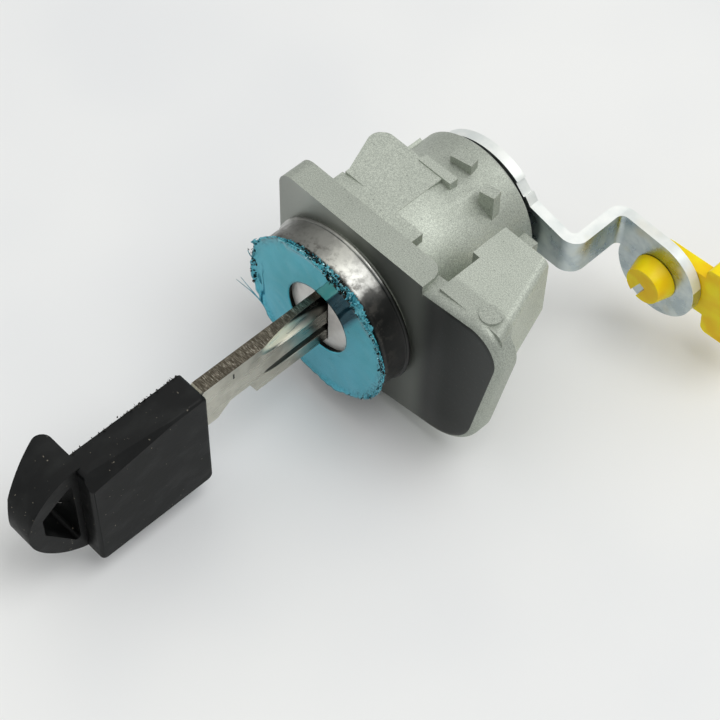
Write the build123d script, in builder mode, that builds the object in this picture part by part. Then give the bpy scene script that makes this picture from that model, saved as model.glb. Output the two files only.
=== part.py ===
"""Door lock cylinder of a car: die-cast housing, keyed plug, operating lever, rod clip and key.

The plug turns about Y. The key enters from -Y, the lever is at +Y, and Z is up.
The origin is on the plug axis, half-way along the straight wall of the round face cap,
which is the collar that the hole in a door handle locates.
Depths are measured along +Y from the flange's front face, in millimetres.
"""
import os

from build123d import *

os.makedirs("parts", exist_ok=True)

# Face cap, drawn from stainless sheet
cap_radius = 12.3
cap_sheet = 0.6
cap_edge_radius = 0.8
cap_straight_wall = 3.2
cap_lip_radius = 12.7
cap_lip_length = 0.7
cap_hole_radius = 5.7
cap_fit = 0.05
lip_to_flange = 0.6

# Protective film stuck to the cap
film_radius = 12.2
film_thickness = 0.15
film_hole_radius = 5.5

# Flange plate and its lobe
flange_thickness = 4.0
flange_left = 13.0
flange_right = 13.3
flange_top = 14.4
flange_corner = 2.5
flange_end_radius = 2.2
edge_pick = 0.01
lobe_top_x = 21.8
lobe_top_z = 9.6
lobe_top_radius = 5.0
lobe_foot_x = 14.5
lobe_foot_z = -4.7
lobe_foot_radius = 9.6
lobe_seat_x = 1.5
lobe_seat_z = -2.2
lobe_thickness = 3.2
lobe_edge_round = 1.4

# Barrel of the housing
barrel_radius = 10.75
barrel_end = 24.5
barrel_rim_chamfer = 0.4
barrel_bore_fit = 0.06

# Deck, pad and shoulder on top of the barrel, behind the flange
deck_left = 8.6
deck_right = 6.2
deck_end = 7.2
deck_level_from = 4.4
deck_left_drop = 0.5
pad_start = 7.9
pad_end = 16.1
pad_front_left = 8.1
pad_rear_left = 10.7
pad_right = 1.4
pad_corner = 1.6
pad_corner_round = 1.9
pad_top = 12.4
shoulder_start = 12.5
shoulder_end = 20.0
web_top = 5.8
web_start = 8.0

# Key-side wing of the housing
wing_top = 14.4
wing_height = 9.9
wing_left_front = 14.9
wing_left_rear = 13.7
wing_step = 8.5
wing_end = 14.4
wing_right_front = 25.7
wing_right_rear = 21.3
wing_ridge_round = 1.2
wing_wall = 2.0
wing_boss_radius = 1.5
wing_boss_height = 0.5

# Small ribs cast on the barrel
rear_rib_top = 12.2
rear_rib_length = 3.3
rear_rib_width = 1.6
rear_rib_x = 0.7
rear_rib_depth = 20.4
front_rib_top = 12.6
front_rib_length = 5.8
front_rib_width = 1.4
front_rib_x = 0.0
front_rib_depth = 16.2
rib_twist = 11.0
peg_top = 11.9
peg_length = 2.3
peg_width = 1.7
peg_x = 6.9
peg_depth = 18.9
side_rib_reach = 12.7
side_rib_length = 3.2
side_rib_depth = 21.3
side_rib_height = 1.8
side_rib_z = 2.2
side_rib_root = 1.3
back_rib_angle = 60.0
back_rib_height = 0.45
back_rib_root = 1.0
back_rib_width = 2.6
back_rib_length = 3.6
back_rib_depth = 20.4

# Plug and its keyway
plug_radius = 6.5
plug_end = 19.5
plug_head_radius = 7.6
plug_head_back = -2.6
plug_head_fit = 0.08
keyway_side_fit = 0.15
keyway_edge_fit = 0.2
keyway_end = 19.0
face_plate_radius = 7.0
face_plate_sheet = 0.4
seal_width = 0.8
seal_inner_radius = 5.9
seal_fit = 0.03
tail_radius = 5.0
stub_radius = 4.0
stub_flat = 2.8
stub_fit = 0.05
stub_end_past_clip = 0.9

# Wafers and their springs
wafer_count = 8
wafer_pitch = 2.3
wafer_first = -0.4
wafer_thickness = 0.9
wafer_half_width = 3.2
wafer_half_height = 6.1
wafer_slot_fit = 0.05
locking_groove_fit = 0.2
wafer_window_rest = 0.06
wafer_window_free = 5.0
wafer_tang_reach = 4.6
wafer_tang_thickness = 0.9
bitting_step = 0.4
bitting_flat = 1.4
locking_groove_half_height = 7.8
wafer_spring_radius = 0.5
wafer_spring_wire = 0.26
wafer_spring_length = 3.1
wafer_spring_turns = 5
spring_pocket_fit = 0.1

# Return spring round the tail
spring_room_radius = 8.9
return_spring_radius = 7.4
return_spring_wire = 1.0
return_spring_turns = 2.5
return_spring_pitch = 1.3
return_spring_start = 20.3
return_leg_length = 8.5
return_leg_wire = 0.94
return_leg_fit = 0.15
return_leg_angle = 90.0

# Operating lever, bent from zinc-plated steel sheet
lever_gap = 0.85
lever_sheet = 1.6
lever_disc_radius = 9.95
lever_disc_shift = 0.3
lever_arm_root = 8.0
lever_arm_top = 5.2
lever_arm_drop = 2.0
lever_arm_low = -2.6
lever_arm_reach = 17.0
lever_bend_radius = 1.0
lever_offset = 9.45
lever_pad_x = 24.2
lever_pad_z = -3.7
lever_pad_radius = 6.6
lever_hole_radius = 2.6
rim_notch_angle = 45.5
rim_notch_depth = 0.5
rim_notch_width = 2.2
retaining_clip_sheet = 0.7
retaining_clip_outer = 5.4
retaining_clip_inner = 3.2
retaining_clip_mouth = 4.4

# Rod clip, moulded in plastic
stud_fit = 0.07
clip_head_radius = 3.5
clip_head_length = 2.6
clip_head_nose = 2.8
rod_hole_radius = 1.2
clip_split = 1.1
clip_split_angle = 243.0
clip_plate_thickness = 2.2
clip_plate_radius = 3.7
clip_gap = 0.1
clip_arm_length = 10.6
clip_block_width = 7.0
clip_block_height = 12.4
clip_block_drop = 0.6
clip_block_depth = 6.0
clip_groove_mouth = 2.2
clip_tilt = 5.0

# Key blade
blade_thickness = 2.2
blade_height = 8.2
blade_tip = 18.5
blade_tip_height = 2.4
blade_shoulder = -17.2
waist_height = 5.8
waist_start = -18.3
waist_end = -21.6
blade_flare = -23.9
blade_into_head = 8.0
blade_tang_height = 7.0
groove_radius = 1.5
groove_lift = 0.3
groove_offset = 3.4
groove_start = -16.3
groove_run_out = 9.0
slim_groove_radius = 0.8
slim_groove_lift = 0.25
slim_groove_offset = -1.4

# Key head
head_front = -26.4
head_back = -45.2
head_thickness = 5.0
head_top = 5.3
head_low = -13.3
head_corner = 1.0
head_edge_round = 0.5
head_bevel_side = 2.2
head_bevel_drop = 4.3
head_bevel_start = -29.0
head_bevel_least = 0.02
head_pocket_fit = 0.02
loop_front_x = -0.2
loop_thickness = 8.0
loop_far_thickness = 4.9
loop_tip_thickness = 3.2
loop_tip_round = 0.9
loop_back_round = 1.5
loop_reach = 8.1
loop_wall = 2.3
loop_bar = 0.9
loop_shoulder = 0.72
loop_foot = -12.5
loop_low_shoulder = -7.6
hole_rear_top = 0.0
hole_rear_low = -3.3

# Places that follow from the sizes above
cap_front = -(cap_straight_wall / 2 + cap_edge_radius)
lip_end = cap_straight_wall / 2 + cap_lip_length
flange_front = lip_end + lip_to_flange
cap_front_depth = cap_front - flange_front
cap_inner_depth = cap_front_depth + cap_sheet
neck_front = cap_inner_depth + cap_fit
neck_radius = cap_radius - cap_sheet - cap_fit
face_plate_front = cap_inner_depth + cap_fit
plug_front = face_plate_front + face_plate_sheet
bore_radius = plug_radius + barrel_bore_fit
wing_low = wing_top - wing_height
blade_half = blade_height / 2
keyway_half_width = blade_thickness / 2 + keyway_side_fit
keyway_half_height = blade_half + keyway_edge_fit
lever_front = barrel_end + lever_gap
lever_back = lever_front + lever_sheet
clip_seat = lever_back + stub_fit
stub_end = clip_seat + retaining_clip_sheet + stub_end_past_clip
pad_plate_front = lever_front + lever_offset
pad_plate_back = pad_plate_front + lever_sheet
wafer_depths = [wafer_first + wafer_pitch * i for i in range(wafer_count)]


def y_at(depth: float) -> float:
    """Y of a depth behind the flange's front face."""
    return flange_front + depth


def across(depth: float) -> Plane:
    """Plane across the plug axis at a depth; its x is X, its y is Z, and minus amounts extrude to +Y."""
    return Plane.XZ.offset(-y_at(depth))


def edge_height(index: int) -> float:
    """Half height of the blade where wafer number index rests on it."""
    return blade_half - bitting_step * (index // 2)


def save(name: str, piece: Part) -> None:
    """Label a finished piece and write it to its own file."""
    piece.label = name
    export_step(piece, f"parts/{name}.step")


# Wing: a wedge with a slanted side, cored from below, that becomes part of the casting
wing_slope = (wing_right_front - wing_right_rear) / (wing_end - lobe_edge_round)
core_front = flange_thickness + wing_wall / 2
core_back = wing_end - wing_wall
with BuildPart() as wing:
    with BuildSketch(Plane.XY.offset(wing_low)):
        with BuildLine():
            Polyline(
                (wing_left_front, y_at(lobe_edge_round)),
                (wing_right_front, y_at(lobe_edge_round)),
                (wing_right_rear, y_at(wing_end)),
                (wing_left_rear, y_at(wing_end)),
                (wing_left_rear, y_at(wing_step)),
                (wing_left_front, y_at(wing_step)),
                close=True,
            )
        make_face()
    extrude(amount=wing_height)
    fillet(wing.faces().sort_by(Axis.Z)[-1].edges().sort_by(Axis.X)[-1], wing_ridge_round)
    with BuildSketch(Plane.XY.offset(wing_low)):
        with BuildLine():
            Polyline(
                (wing_left_front + wing_wall / 2, y_at(core_front)),
                (wing_right_front - wing_slope * core_front - wing_wall, y_at(core_front)),
                (wing_right_front - wing_slope * core_back - wing_wall, y_at(core_back)),
                (wing_left_front + wing_wall / 2, y_at(core_back)),
                close=True,
            )
        make_face()
    extrude(amount=wing_height - wing_wall, mode=Mode.SUBTRACT)
    with BuildSketch(Plane.XY.offset(wing_top)):
        with Locations((lobe_top_x + wing_boss_height, y_at(lobe_edge_round + wing_boss_radius))):
            Circle(wing_boss_radius)
    extrude(amount=wing_boss_height)


# Housing: one zinc die casting
with BuildPart() as housing:
    with BuildSketch(across(0)):
        with Locations((lobe_top_x, lobe_top_z)):
            Circle(lobe_top_radius)
        with Locations((lobe_foot_x, lobe_foot_z)):
            Circle(lobe_foot_radius)
        with Locations((lobe_seat_x, lobe_seat_z)):
            Circle(flange_left + lobe_seat_x)
        make_hull()
    extrude(amount=-lobe_thickness)
    fillet(housing.faces().sort_by(Axis.Y)[0].edges(), lobe_edge_round)

    # Flange plate, square at its top
    with BuildSketch(across(0)):
        with Locations((-flange_left, lobe_seat_z)):
            Rectangle(
                flange_left + flange_right,
                flange_top - lobe_seat_z,
                align=(Align.MIN, Align.MIN),
            )
        fillet(vertices().group_by(Axis.X)[0].sort_by(Axis.Y)[-1], flange_corner)
    extrude(amount=-flange_thickness)
    flange_end = (
        housing.edges()
        .filter_by(Axis.Z)
        .filter_by_position(Axis.X, flange_right - edge_pick, flange_right + edge_pick)
        .filter_by_position(Axis.Y, y_at(flange_thickness) - edge_pick, y_at(flange_thickness) + edge_pick)
    )
    fillet(flange_end, flange_end_radius)

    # Barrel and the neck that carries the face cap
    with BuildSketch(across(0)):
        Circle(barrel_radius)
    extrude(amount=-barrel_end)
    chamfer(housing.faces().sort_by(Axis.Y)[-1].edges(), barrel_rim_chamfer)
    with BuildSketch(across(0)):
        Circle(neck_radius)
    extrude(amount=-neck_front)

    # Shoulder: a round that tapers from the pad's height down to the barrel
    with BuildSketch(across(flange_thickness / 2)):
        Circle(pad_top)
    extrude(amount=-(shoulder_start - flange_thickness / 2))
    with BuildSketch(across(shoulder_start)):
        Circle(pad_top)
    with BuildSketch(across(shoulder_end)):
        Circle(barrel_radius)
    loft()

    # Deck, lower at its left end, and the flat pad behind it
    with BuildSketch(across(flange_thickness / 2)):
        with BuildLine():
            Polyline(
                (-deck_left, 0),
                (-deck_left, pad_top - deck_left_drop),
                (-deck_level_from, pad_top),
                (deck_right, pad_top),
                (deck_right, 0),
                close=True,
            )
        make_face()
    extrude(amount=-(deck_end - flange_thickness / 2))
    with BuildSketch(Plane.XY):
        with BuildLine():
            Polyline(
                (-pad_front_left, y_at(pad_start)),
                (-pad_front_left, y_at(deck_end)),
                (-deck_level_from, y_at(deck_end)),
                (pad_right, y_at(deck_end)),
                (pad_right, y_at(pad_end)),
                (-pad_rear_left + pad_corner, y_at(pad_end)),
                (-pad_rear_left, y_at(pad_end - pad_corner)),
                close=True,
            )
        make_face()
        fillet(vertices().sort_by(Axis.X)[:2], pad_corner_round)
    extrude(amount=pad_top)

    # Wing and the low web that ties it to the barrel
    add(wing.part)
    with BuildSketch(Plane.XY.offset(wing_low)):
        with BuildLine():
            Polyline(
                (web_start, y_at(flange_thickness / 2)),
                (wing_left_front + wing_wall, y_at(flange_thickness / 2)),
                (wing_left_front + wing_wall, y_at(wing_end)),
                (web_start, y_at(wing_end)),
                close=True,
            )
        make_face()
    extrude(amount=web_top - wing_low)

    # Ribs and peg on the barrel
    with BuildSketch(Plane.XY.offset(barrel_radius / 2)):
        with Locations(Location((rear_rib_x, y_at(rear_rib_depth), 0), (0, 0, rib_twist))):
            Rectangle(rear_rib_length, rear_rib_width)
    extrude(amount=rear_rib_top - barrel_radius / 2)
    with BuildSketch(Plane.XY.offset(barrel_radius / 2)):
        with Locations((front_rib_x, y_at(front_rib_depth))):
            Rectangle(front_rib_length, front_rib_width)
    extrude(amount=front_rib_top - barrel_radius / 2)
    with BuildSketch(Plane.XY.offset(barrel_radius / 2)):
        with Locations(Location((peg_x, y_at(peg_depth), 0), (0, 0, rib_twist))):
            Rectangle(peg_length, peg_width)
    extrude(amount=peg_top - barrel_radius / 2)
    with BuildSketch(across(side_rib_depth - side_rib_length / 2)):
        with Locations((barrel_radius - side_rib_root, side_rib_z)):
            Rectangle(
                side_rib_reach - barrel_radius + side_rib_root,
                side_rib_height,
                align=(Align.MIN, Align.CENTER),
            )
    extrude(amount=-side_rib_length)
    with BuildSketch(across(back_rib_depth - back_rib_length / 2)):
        with Locations(Location((0, 0, 0), (0, 0, 90.0 + back_rib_angle))):
            with Locations((barrel_radius - back_rib_root, 0)):
                Rectangle(
                    back_rib_height + back_rib_root,
                    back_rib_width,
                    align=(Align.MIN, Align.CENTER),
                )
    extrude(amount=-back_rib_length)

    # Bores: plug head, plug, locking grooves and the return spring's room
    with BuildSketch(across(neck_front)):
        Circle(plug_head_radius + plug_head_fit)
    extrude(amount=-(plug_head_back - neck_front), mode=Mode.SUBTRACT)
    with BuildSketch(across(plug_head_back)):
        Circle(bore_radius)
    extrude(amount=-(barrel_end - plug_head_back), mode=Mode.SUBTRACT)
    with BuildSketch(across(wafer_depths[0] - wafer_pitch / 2)):
        Rectangle(2 * (wafer_half_width + locking_groove_fit), 2 * locking_groove_half_height)
    extrude(amount=-(wafer_pitch * wafer_count), mode=Mode.SUBTRACT)
    with BuildSketch(across(plug_end)):
        Circle(spring_room_radius)
    extrude(amount=-(barrel_end - plug_end), mode=Mode.SUBTRACT)
    with BuildSketch(across(return_spring_start - return_spring_wire / 2 - return_leg_fit)):
        with Locations((0, -return_spring_radius)):
            Rectangle(
                barrel_radius * 2,
                return_spring_wire + 2 * return_leg_fit,
                align=(Align.MIN, Align.CENTER),
            )
    extrude(
        amount=-(barrel_end - return_spring_start + return_spring_wire),
        mode=Mode.SUBTRACT,
    )
save("housing", housing.part)


# Face cap, a drawn cup with a turned lip, closed over the neck
with BuildPart() as face_cap:
    with BuildSketch(across(cap_front_depth)):
        Circle(cap_radius)
    extrude(amount=-(lip_end - cap_front))
    fillet(face_cap.faces().sort_by(Axis.Y)[0].edges(), cap_edge_radius)
    with BuildSketch(across(-lip_to_flange - cap_lip_length)):
        Circle(cap_lip_radius)
    extrude(amount=-cap_lip_length)
    with BuildSketch(across(cap_inner_depth)):
        Circle(cap_radius - cap_sheet)
    extrude(amount=-(lip_end - cap_front), mode=Mode.SUBTRACT)
    with BuildSketch(across(cap_front_depth)):
        Circle(cap_hole_radius)
    extrude(amount=-cap_sheet, mode=Mode.SUBTRACT)
save("face_cap", face_cap.part)


# Protective film, a disc a little larger than the cap
with BuildPart() as protective_film:
    with BuildSketch(across(cap_front_depth - film_thickness)):
        Circle(film_radius)
        Circle(film_hole_radius, mode=Mode.SUBTRACT)
    extrude(amount=-film_thickness)
save("protective_film", protective_film.part)


# Plug with its keyway, wafer slots, spring pockets, tail and stub
with BuildPart() as plug:
    with BuildSketch(across(plug_front)):
        Circle(plug_head_radius)
    extrude(amount=-(plug_head_back - plug_front - plug_head_fit))
    with BuildSketch(across(plug_front)):
        Circle(plug_radius)
    extrude(amount=-(plug_end - plug_front))
    with BuildSketch(across(plug_end)):
        Circle(tail_radius)
    extrude(amount=-(lever_front - plug_end))
    with BuildSketch(across(lever_front)):
        Circle(stub_radius)
        Rectangle(2 * stub_flat, 2 * stub_radius, mode=Mode.INTERSECT)
    extrude(amount=-(stub_end - lever_front))
    with BuildSketch(across(clip_seat)):
        Circle(stub_radius)
        Circle(retaining_clip_inner - stub_fit, mode=Mode.SUBTRACT)
    extrude(amount=-(retaining_clip_sheet + stub_fit), mode=Mode.SUBTRACT)
    with BuildSketch(across(plug_head_back)):
        Circle(plug_radius)
        Circle(seal_inner_radius, mode=Mode.SUBTRACT)
    extrude(amount=-seal_width, mode=Mode.SUBTRACT)
    with BuildSketch(across(plug_front)):
        Rectangle(2 * keyway_half_width, 2 * keyway_half_height)
    extrude(amount=-(keyway_end - plug_front), mode=Mode.SUBTRACT)
    for number, depth in enumerate(wafer_depths):
        side = 1 if number % 2 == 0 else -1
        tang_x = side * (wafer_half_width + wafer_tang_reach) / 2
        with BuildSketch(across(depth - wafer_thickness / 2 - wafer_slot_fit)):
            Rectangle(2 * (wafer_half_width + wafer_slot_fit), 2 * plug_radius)
            with Locations((side * (wafer_tang_reach + wafer_slot_fit) / 2, 0)):
                Rectangle(
                    wafer_tang_reach + wafer_slot_fit,
                    2 * (wafer_tang_thickness + wafer_slot_fit),
                )
        extrude(amount=-(wafer_thickness + 2 * wafer_slot_fit), mode=Mode.SUBTRACT)
        with BuildSketch(Plane.XY):
            with Locations((tang_x, y_at(depth))):
                Circle(wafer_spring_radius + wafer_spring_wire / 2 + spring_pocket_fit)
        extrude(
            amount=-side * (wafer_tang_thickness + wafer_spring_length + spring_pocket_fit),
            mode=Mode.SUBTRACT,
        )
save("plug", plug.part)


# Stainless face plate in front of the plug's head
with BuildPart() as plug_face_plate:
    with BuildSketch(across(face_plate_front)):
        Circle(face_plate_radius)
        Rectangle(2 * keyway_half_width, 2 * keyway_half_height, mode=Mode.SUBTRACT)
    extrude(amount=-face_plate_sheet)
save("plug_face_plate", plug_face_plate.part)


# Rubber ring that seals the plug in its bore
with BuildPart() as plug_seal:
    with BuildSketch(across(plug_head_back + seal_fit)):
        Circle(bore_radius - seal_fit)
        Circle(seal_inner_radius + seal_fit, mode=Mode.SUBTRACT)
    extrude(amount=-(seal_width - 2 * seal_fit))
save("plug_seal", plug_seal.part)


# Wafers, each with a window that the blade's cut edge fills, and a tang for its spring
for number, depth in enumerate(wafer_depths):
    side = 1 if number % 2 == 0 else -1
    tang_x = side * (wafer_half_width + wafer_tang_reach) / 2
    window_rest = edge_height(number) + wafer_window_rest
    with BuildPart() as wafer:
        with BuildSketch(across(depth - wafer_thickness / 2)):
            Rectangle(2 * wafer_half_width, 2 * wafer_half_height)
            Circle(plug_radius - wafer_slot_fit, mode=Mode.INTERSECT)
            with Locations((side * wafer_tang_reach / 2, 0)):
                Rectangle(wafer_tang_reach, 2 * wafer_tang_thickness)
            with Locations((tang_x, -side * wafer_tang_thickness / 2)):
                Rectangle(
                    wafer_tang_reach - wafer_half_width,
                    wafer_tang_thickness,
                    mode=Mode.SUBTRACT,
                )
            with Locations((0, side * (wafer_window_free - window_rest) / 2)):
                Rectangle(2 * keyway_half_width, wafer_window_free + window_rest, mode=Mode.SUBTRACT)
        extrude(amount=-wafer_thickness)
    save(f"wafer_{number + 1}", wafer.part)

    # Coil spring under the tang
    spring_rise = wafer_spring_length - wafer_spring_wire - spring_pocket_fit
    with BuildPart() as wafer_spring:
        with BuildLine() as coil:
            Helix(
                pitch=spring_rise / wafer_spring_turns,
                height=spring_rise,
                radius=wafer_spring_radius,
                center=(tang_x, y_at(depth), -side * (spring_pocket_fit + wafer_spring_wire / 2)),
                direction=(0, 0, -side),
            )
        with BuildSketch(Plane(origin=coil.line @ 0, z_dir=coil.line % 0)):
            Circle(wafer_spring_wire / 2)
        sweep(is_frenet=True)
    save(f"wafer_spring_{number + 1}", wafer_spring.part)


# Return spring: a torsion spring with one leg in the housing's slot and one through the lever
coil_height = return_spring_pitch * return_spring_turns
with BuildPart() as spring_coil:
    with BuildLine() as winding:
        Helix(
            pitch=return_spring_pitch,
            height=coil_height,
            radius=return_spring_radius,
            center=(0, y_at(return_spring_start), 0),
            direction=(0, 1, 0),
        )
    with BuildSketch(Plane(origin=winding.line @ 0, z_dir=winding.line % 0)):
        Circle(return_spring_wire / 2)
    sweep(is_frenet=True)
with BuildPart() as return_spring:
    add(spring_coil.part, rotation=(0, 180, 0))
    with BuildSketch(Plane.YZ.offset(-return_spring_wire / 2)):
        with Locations((y_at(return_spring_start), -return_spring_radius)):
            Circle(return_leg_wire / 2)
    extrude(amount=return_leg_length)
    with BuildSketch(across(return_spring_start + coil_height)):
        with Locations((0, return_spring_radius)):
            Circle(return_leg_wire / 2)
    extrude(amount=-(lever_back - return_spring_start - coil_height + return_spring_wire))
save("return_spring", return_spring.part)


# Lever: a disc on the plug's stub, an arm, a bend to the rear, and a pad for the rod clip
disc_middle = lever_front + lever_sheet / 2
pad_middle = pad_plate_front + lever_sheet / 2
bend_x = lever_arm_reach - lever_sheet / 2
with BuildPart() as lever:
    with BuildSketch(Plane.XY.offset(-2 * lever_disc_radius)):
        with BuildLine():
            FilletPolyline(
                (-lever_disc_radius, y_at(disc_middle)),
                (bend_x, y_at(disc_middle)),
                (bend_x, y_at(pad_middle)),
                (lever_pad_x + lever_pad_radius, y_at(pad_middle)),
                radius=lever_bend_radius + lever_sheet / 2,
            )
            offset(amount=lever_sheet / 2, side=Side.BOTH, closed=True)
        make_face()
    extrude(amount=4 * lever_disc_radius)
    with BuildSketch(across(lever_front)):
        with Locations((lever_disc_shift, -lever_disc_shift)):
            Circle(lever_disc_radius)
        with BuildLine():
            Polyline(
                (lever_arm_root, lever_arm_top),
                (lever_arm_reach, lever_arm_top - lever_arm_drop),
                (lever_arm_reach + lever_sheet, lever_arm_top - lever_arm_drop),
                (lever_pad_x, lever_pad_z + lever_pad_radius),
                (lever_pad_x, lever_pad_z),
                (lever_pad_x - lever_pad_radius, lever_pad_z),
                (lever_arm_reach + lever_sheet / 2, lever_arm_low),
                (lever_arm_root, lever_arm_low),
                close=True,
            )
        make_face()
        with Locations((lever_pad_x, lever_pad_z)):
            Circle(lever_pad_radius)
        with Locations((lever_pad_x, lever_pad_z)):
            Circle(lever_hole_radius, mode=Mode.SUBTRACT)
    extrude(amount=-(lever_offset + lever_sheet), mode=Mode.INTERSECT)
    with BuildSketch(across(lever_front)):
        Circle(stub_radius + stub_fit)
        Rectangle(2 * (stub_flat + stub_fit), 4 * stub_radius, mode=Mode.INTERSECT)
    extrude(amount=-lever_sheet, mode=Mode.SUBTRACT)
    with BuildSketch(across(lever_front)):
        with PolarLocations(return_spring_radius, 1, return_leg_angle):
            Circle(return_spring_wire / 2 + return_leg_fit)
        with PolarLocations(lever_disc_radius, 1, rim_notch_angle):
            Rectangle(2 * rim_notch_depth, rim_notch_width)
    extrude(amount=-lever_sheet, mode=Mode.SUBTRACT)
save("lever", lever.part)


# Retaining clip, a sprung ring open at one side, in the stub's groove
with BuildPart() as retaining_clip:
    with BuildSketch(across(clip_seat + stub_fit / 2)):
        Circle(retaining_clip_outer)
        Circle(retaining_clip_inner, mode=Mode.SUBTRACT)
        with Locations((0, -retaining_clip_outer)):
            Rectangle(retaining_clip_mouth, 2 * retaining_clip_outer, mode=Mode.SUBTRACT)
    extrude(amount=-retaining_clip_sheet)
save("retaining_clip", retaining_clip.part)


# Rod clip: a split snap stud through the pad, a plate behind it and a block with the rod's groove
plate_front = pad_plate_back + clip_gap
arm = Location((lever_pad_x, lever_pad_z, 0), (0, 0, clip_tilt))
stud_radius = lever_hole_radius - stud_fit
with BuildPart() as rod_clip:
    with BuildSketch(across(plate_front)):
        with Locations((lever_pad_x, lever_pad_z)):
            Circle(stud_radius)
    extrude(amount=plate_front - pad_plate_front + clip_gap)
    with BuildSketch(across(pad_plate_front - clip_gap)):
        with Locations((lever_pad_x, lever_pad_z)):
            Circle(clip_head_radius)
    with BuildSketch(across(pad_plate_front - clip_gap - clip_head_length)):
        with Locations((lever_pad_x, lever_pad_z)):
            Circle(clip_head_nose)
    loft()
    with BuildSketch(across(plate_front)):
        with Locations(arm):
            Circle(clip_plate_radius)
            with Locations((clip_arm_length / 2, 0)):
                Rectangle(clip_arm_length, 2 * clip_plate_radius)
    extrude(amount=-clip_plate_thickness)
    with BuildSketch(across(plate_front)):
        with Locations(arm):
            with Locations((clip_arm_length, -clip_block_drop)):
                RectangleRounded(clip_block_width, clip_block_height, head_corner)
    extrude(amount=-clip_block_depth)
    with BuildSketch(across(plate_front + clip_plate_thickness)):
        with Locations(arm):
            with Locations((clip_arm_length, 0)):
                Rectangle(2 * clip_arm_length, clip_groove_mouth)
    extrude(amount=-clip_block_depth, mode=Mode.SUBTRACT)
    with BuildSketch(across(pad_plate_front)):
        with Locations((lever_pad_x, lever_pad_z)):
            Circle(rod_hole_radius)
    extrude(amount=-(clip_block_depth + lever_sheet + clip_gap), mode=Mode.SUBTRACT)
    with BuildSketch(across(pad_plate_front - clip_gap - clip_head_length)):
        with Locations(Location((lever_pad_x, lever_pad_z, 0), (0, 0, clip_split_angle))):
            Rectangle(2 * clip_head_radius, clip_split, align=(Align.MIN, Align.CENTER))
    extrude(amount=-(clip_head_length + lever_sheet + clip_gap), mode=Mode.SUBTRACT)
save("rod_clip", rod_clip.part)


# Key blade: waist behind the shoulder, milled grooves, and cuts that step down to the tip
cuts = [
    (y_at(depth + flat), edge_height(number), number % 2)
    for number, depth in enumerate(wafer_depths)
    for flat in (-bitting_flat / 2, bitting_flat / 2)
]
top_edge = [(y, height) for y, height, side in cuts if side == 1]
low_edge = [(y, -height) for y, height, side in reversed(cuts) if side == 0]
blade_end = head_front - blade_into_head
with BuildPart() as key_blade:
    with BuildSketch(Plane.YZ.offset(-blade_thickness / 2)):
        with BuildLine():
            Polyline(
                (y_at(blade_end), blade_tang_height / 2),
                (y_at(head_front), blade_tang_height / 2),
                (y_at(head_front + head_edge_round), blade_half),
                *top_edge,
                (y_at(blade_tip), blade_tip_height / 2),
                (y_at(blade_tip), -blade_tip_height / 2),
                *low_edge,
                (y_at(blade_shoulder), -blade_half),
                (y_at(waist_start), blade_half - waist_height),
                (y_at(waist_end), blade_half - waist_height),
                (y_at(blade_flare), -blade_tang_height / 2),
                (y_at(blade_end), -blade_tang_height / 2),
                close=True,
            )
        make_face()
    extrude(amount=blade_thickness)
    for face in (1, -1):
        for radius, lift, height in (
            (groove_radius, groove_lift, groove_offset),
            (slim_groove_radius, slim_groove_lift, slim_groove_offset),
        ):
            rise = radius - lift
            run_out_radius = (groove_run_out**2 + rise**2) / (2 * rise)
            with BuildLine() as cutter_path:
                cutter_x = face * (blade_thickness / 2 + lift)
                level = Line(
                    (cutter_x, y_at(blade_tip + head_corner), face * height),
                    (cutter_x, y_at(groove_start + groove_run_out), face * height),
                )
                RadiusArc(
                    level @ 1,
                    (face * (blade_thickness / 2 + radius), y_at(groove_start), face * height),
                    -face * run_out_radius,
                )
            with BuildSketch(Plane(origin=level @ 0, z_dir=(0, -1, 0))):
                Circle(radius)
            sweep(path=cutter_path.line, mode=Mode.SUBTRACT)
save("key_blade", key_blade.part)


# Loop for a key ring, with an opening that follows its outline, that becomes part of the head
shoulder_y = y_at(head_back - loop_reach * loop_shoulder)
loop_base_y = y_at(head_back + loop_bar)
loop_tip_y = y_at(head_back - loop_reach)
with BuildPart() as loop:
    with BuildSketch(Plane.YZ.offset(loop_front_x)):
        with BuildLine():
            loop_outline = Spline(
                (loop_base_y, head_top),
                (shoulder_y, head_top / 2),
                (loop_tip_y, -loop_wall / 2),
                (shoulder_y, loop_low_shoulder),
                (loop_base_y, loop_foot),
            )
            Line(loop_outline @ 1, loop_outline @ 0)
        make_face()
    extrude(amount=-loop_thickness)
    with BuildSketch(Plane.XY.offset(loop_foot)):
        with BuildLine():
            Polyline(
                (loop_front_x, loop_base_y),
                (loop_front_x - loop_thickness, loop_base_y),
                (loop_front_x - loop_far_thickness, loop_tip_y + loop_tip_round),
                (loop_front_x - loop_tip_thickness, loop_tip_y - loop_tip_round),
                (loop_front_x, loop_tip_y - loop_tip_round),
                close=True,
            )
        make_face()
        fillet(vertices().group_by(Axis.X)[0], loop_back_round)
    extrude(amount=head_top - loop_foot, mode=Mode.INTERSECT)
    with BuildSketch(Plane.YZ.offset(loop_front_x)):
        with BuildLine():
            Polyline(
                (y_at(head_back - loop_bar), head_top - loop_wall),
                (shoulder_y + loop_wall, head_top / 2 - loop_wall / 2),
                (loop_tip_y + loop_wall, hole_rear_top),
                (loop_tip_y + loop_wall, hole_rear_low),
                (shoulder_y + loop_wall, loop_low_shoulder + loop_wall / 2),
                (y_at(head_back - loop_bar), loop_foot + loop_wall),
                close=True,
            )
        make_face()
        fillet(vertices(), head_corner / 2)
    extrude(amount=-loop_thickness, mode=Mode.SUBTRACT)

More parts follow.
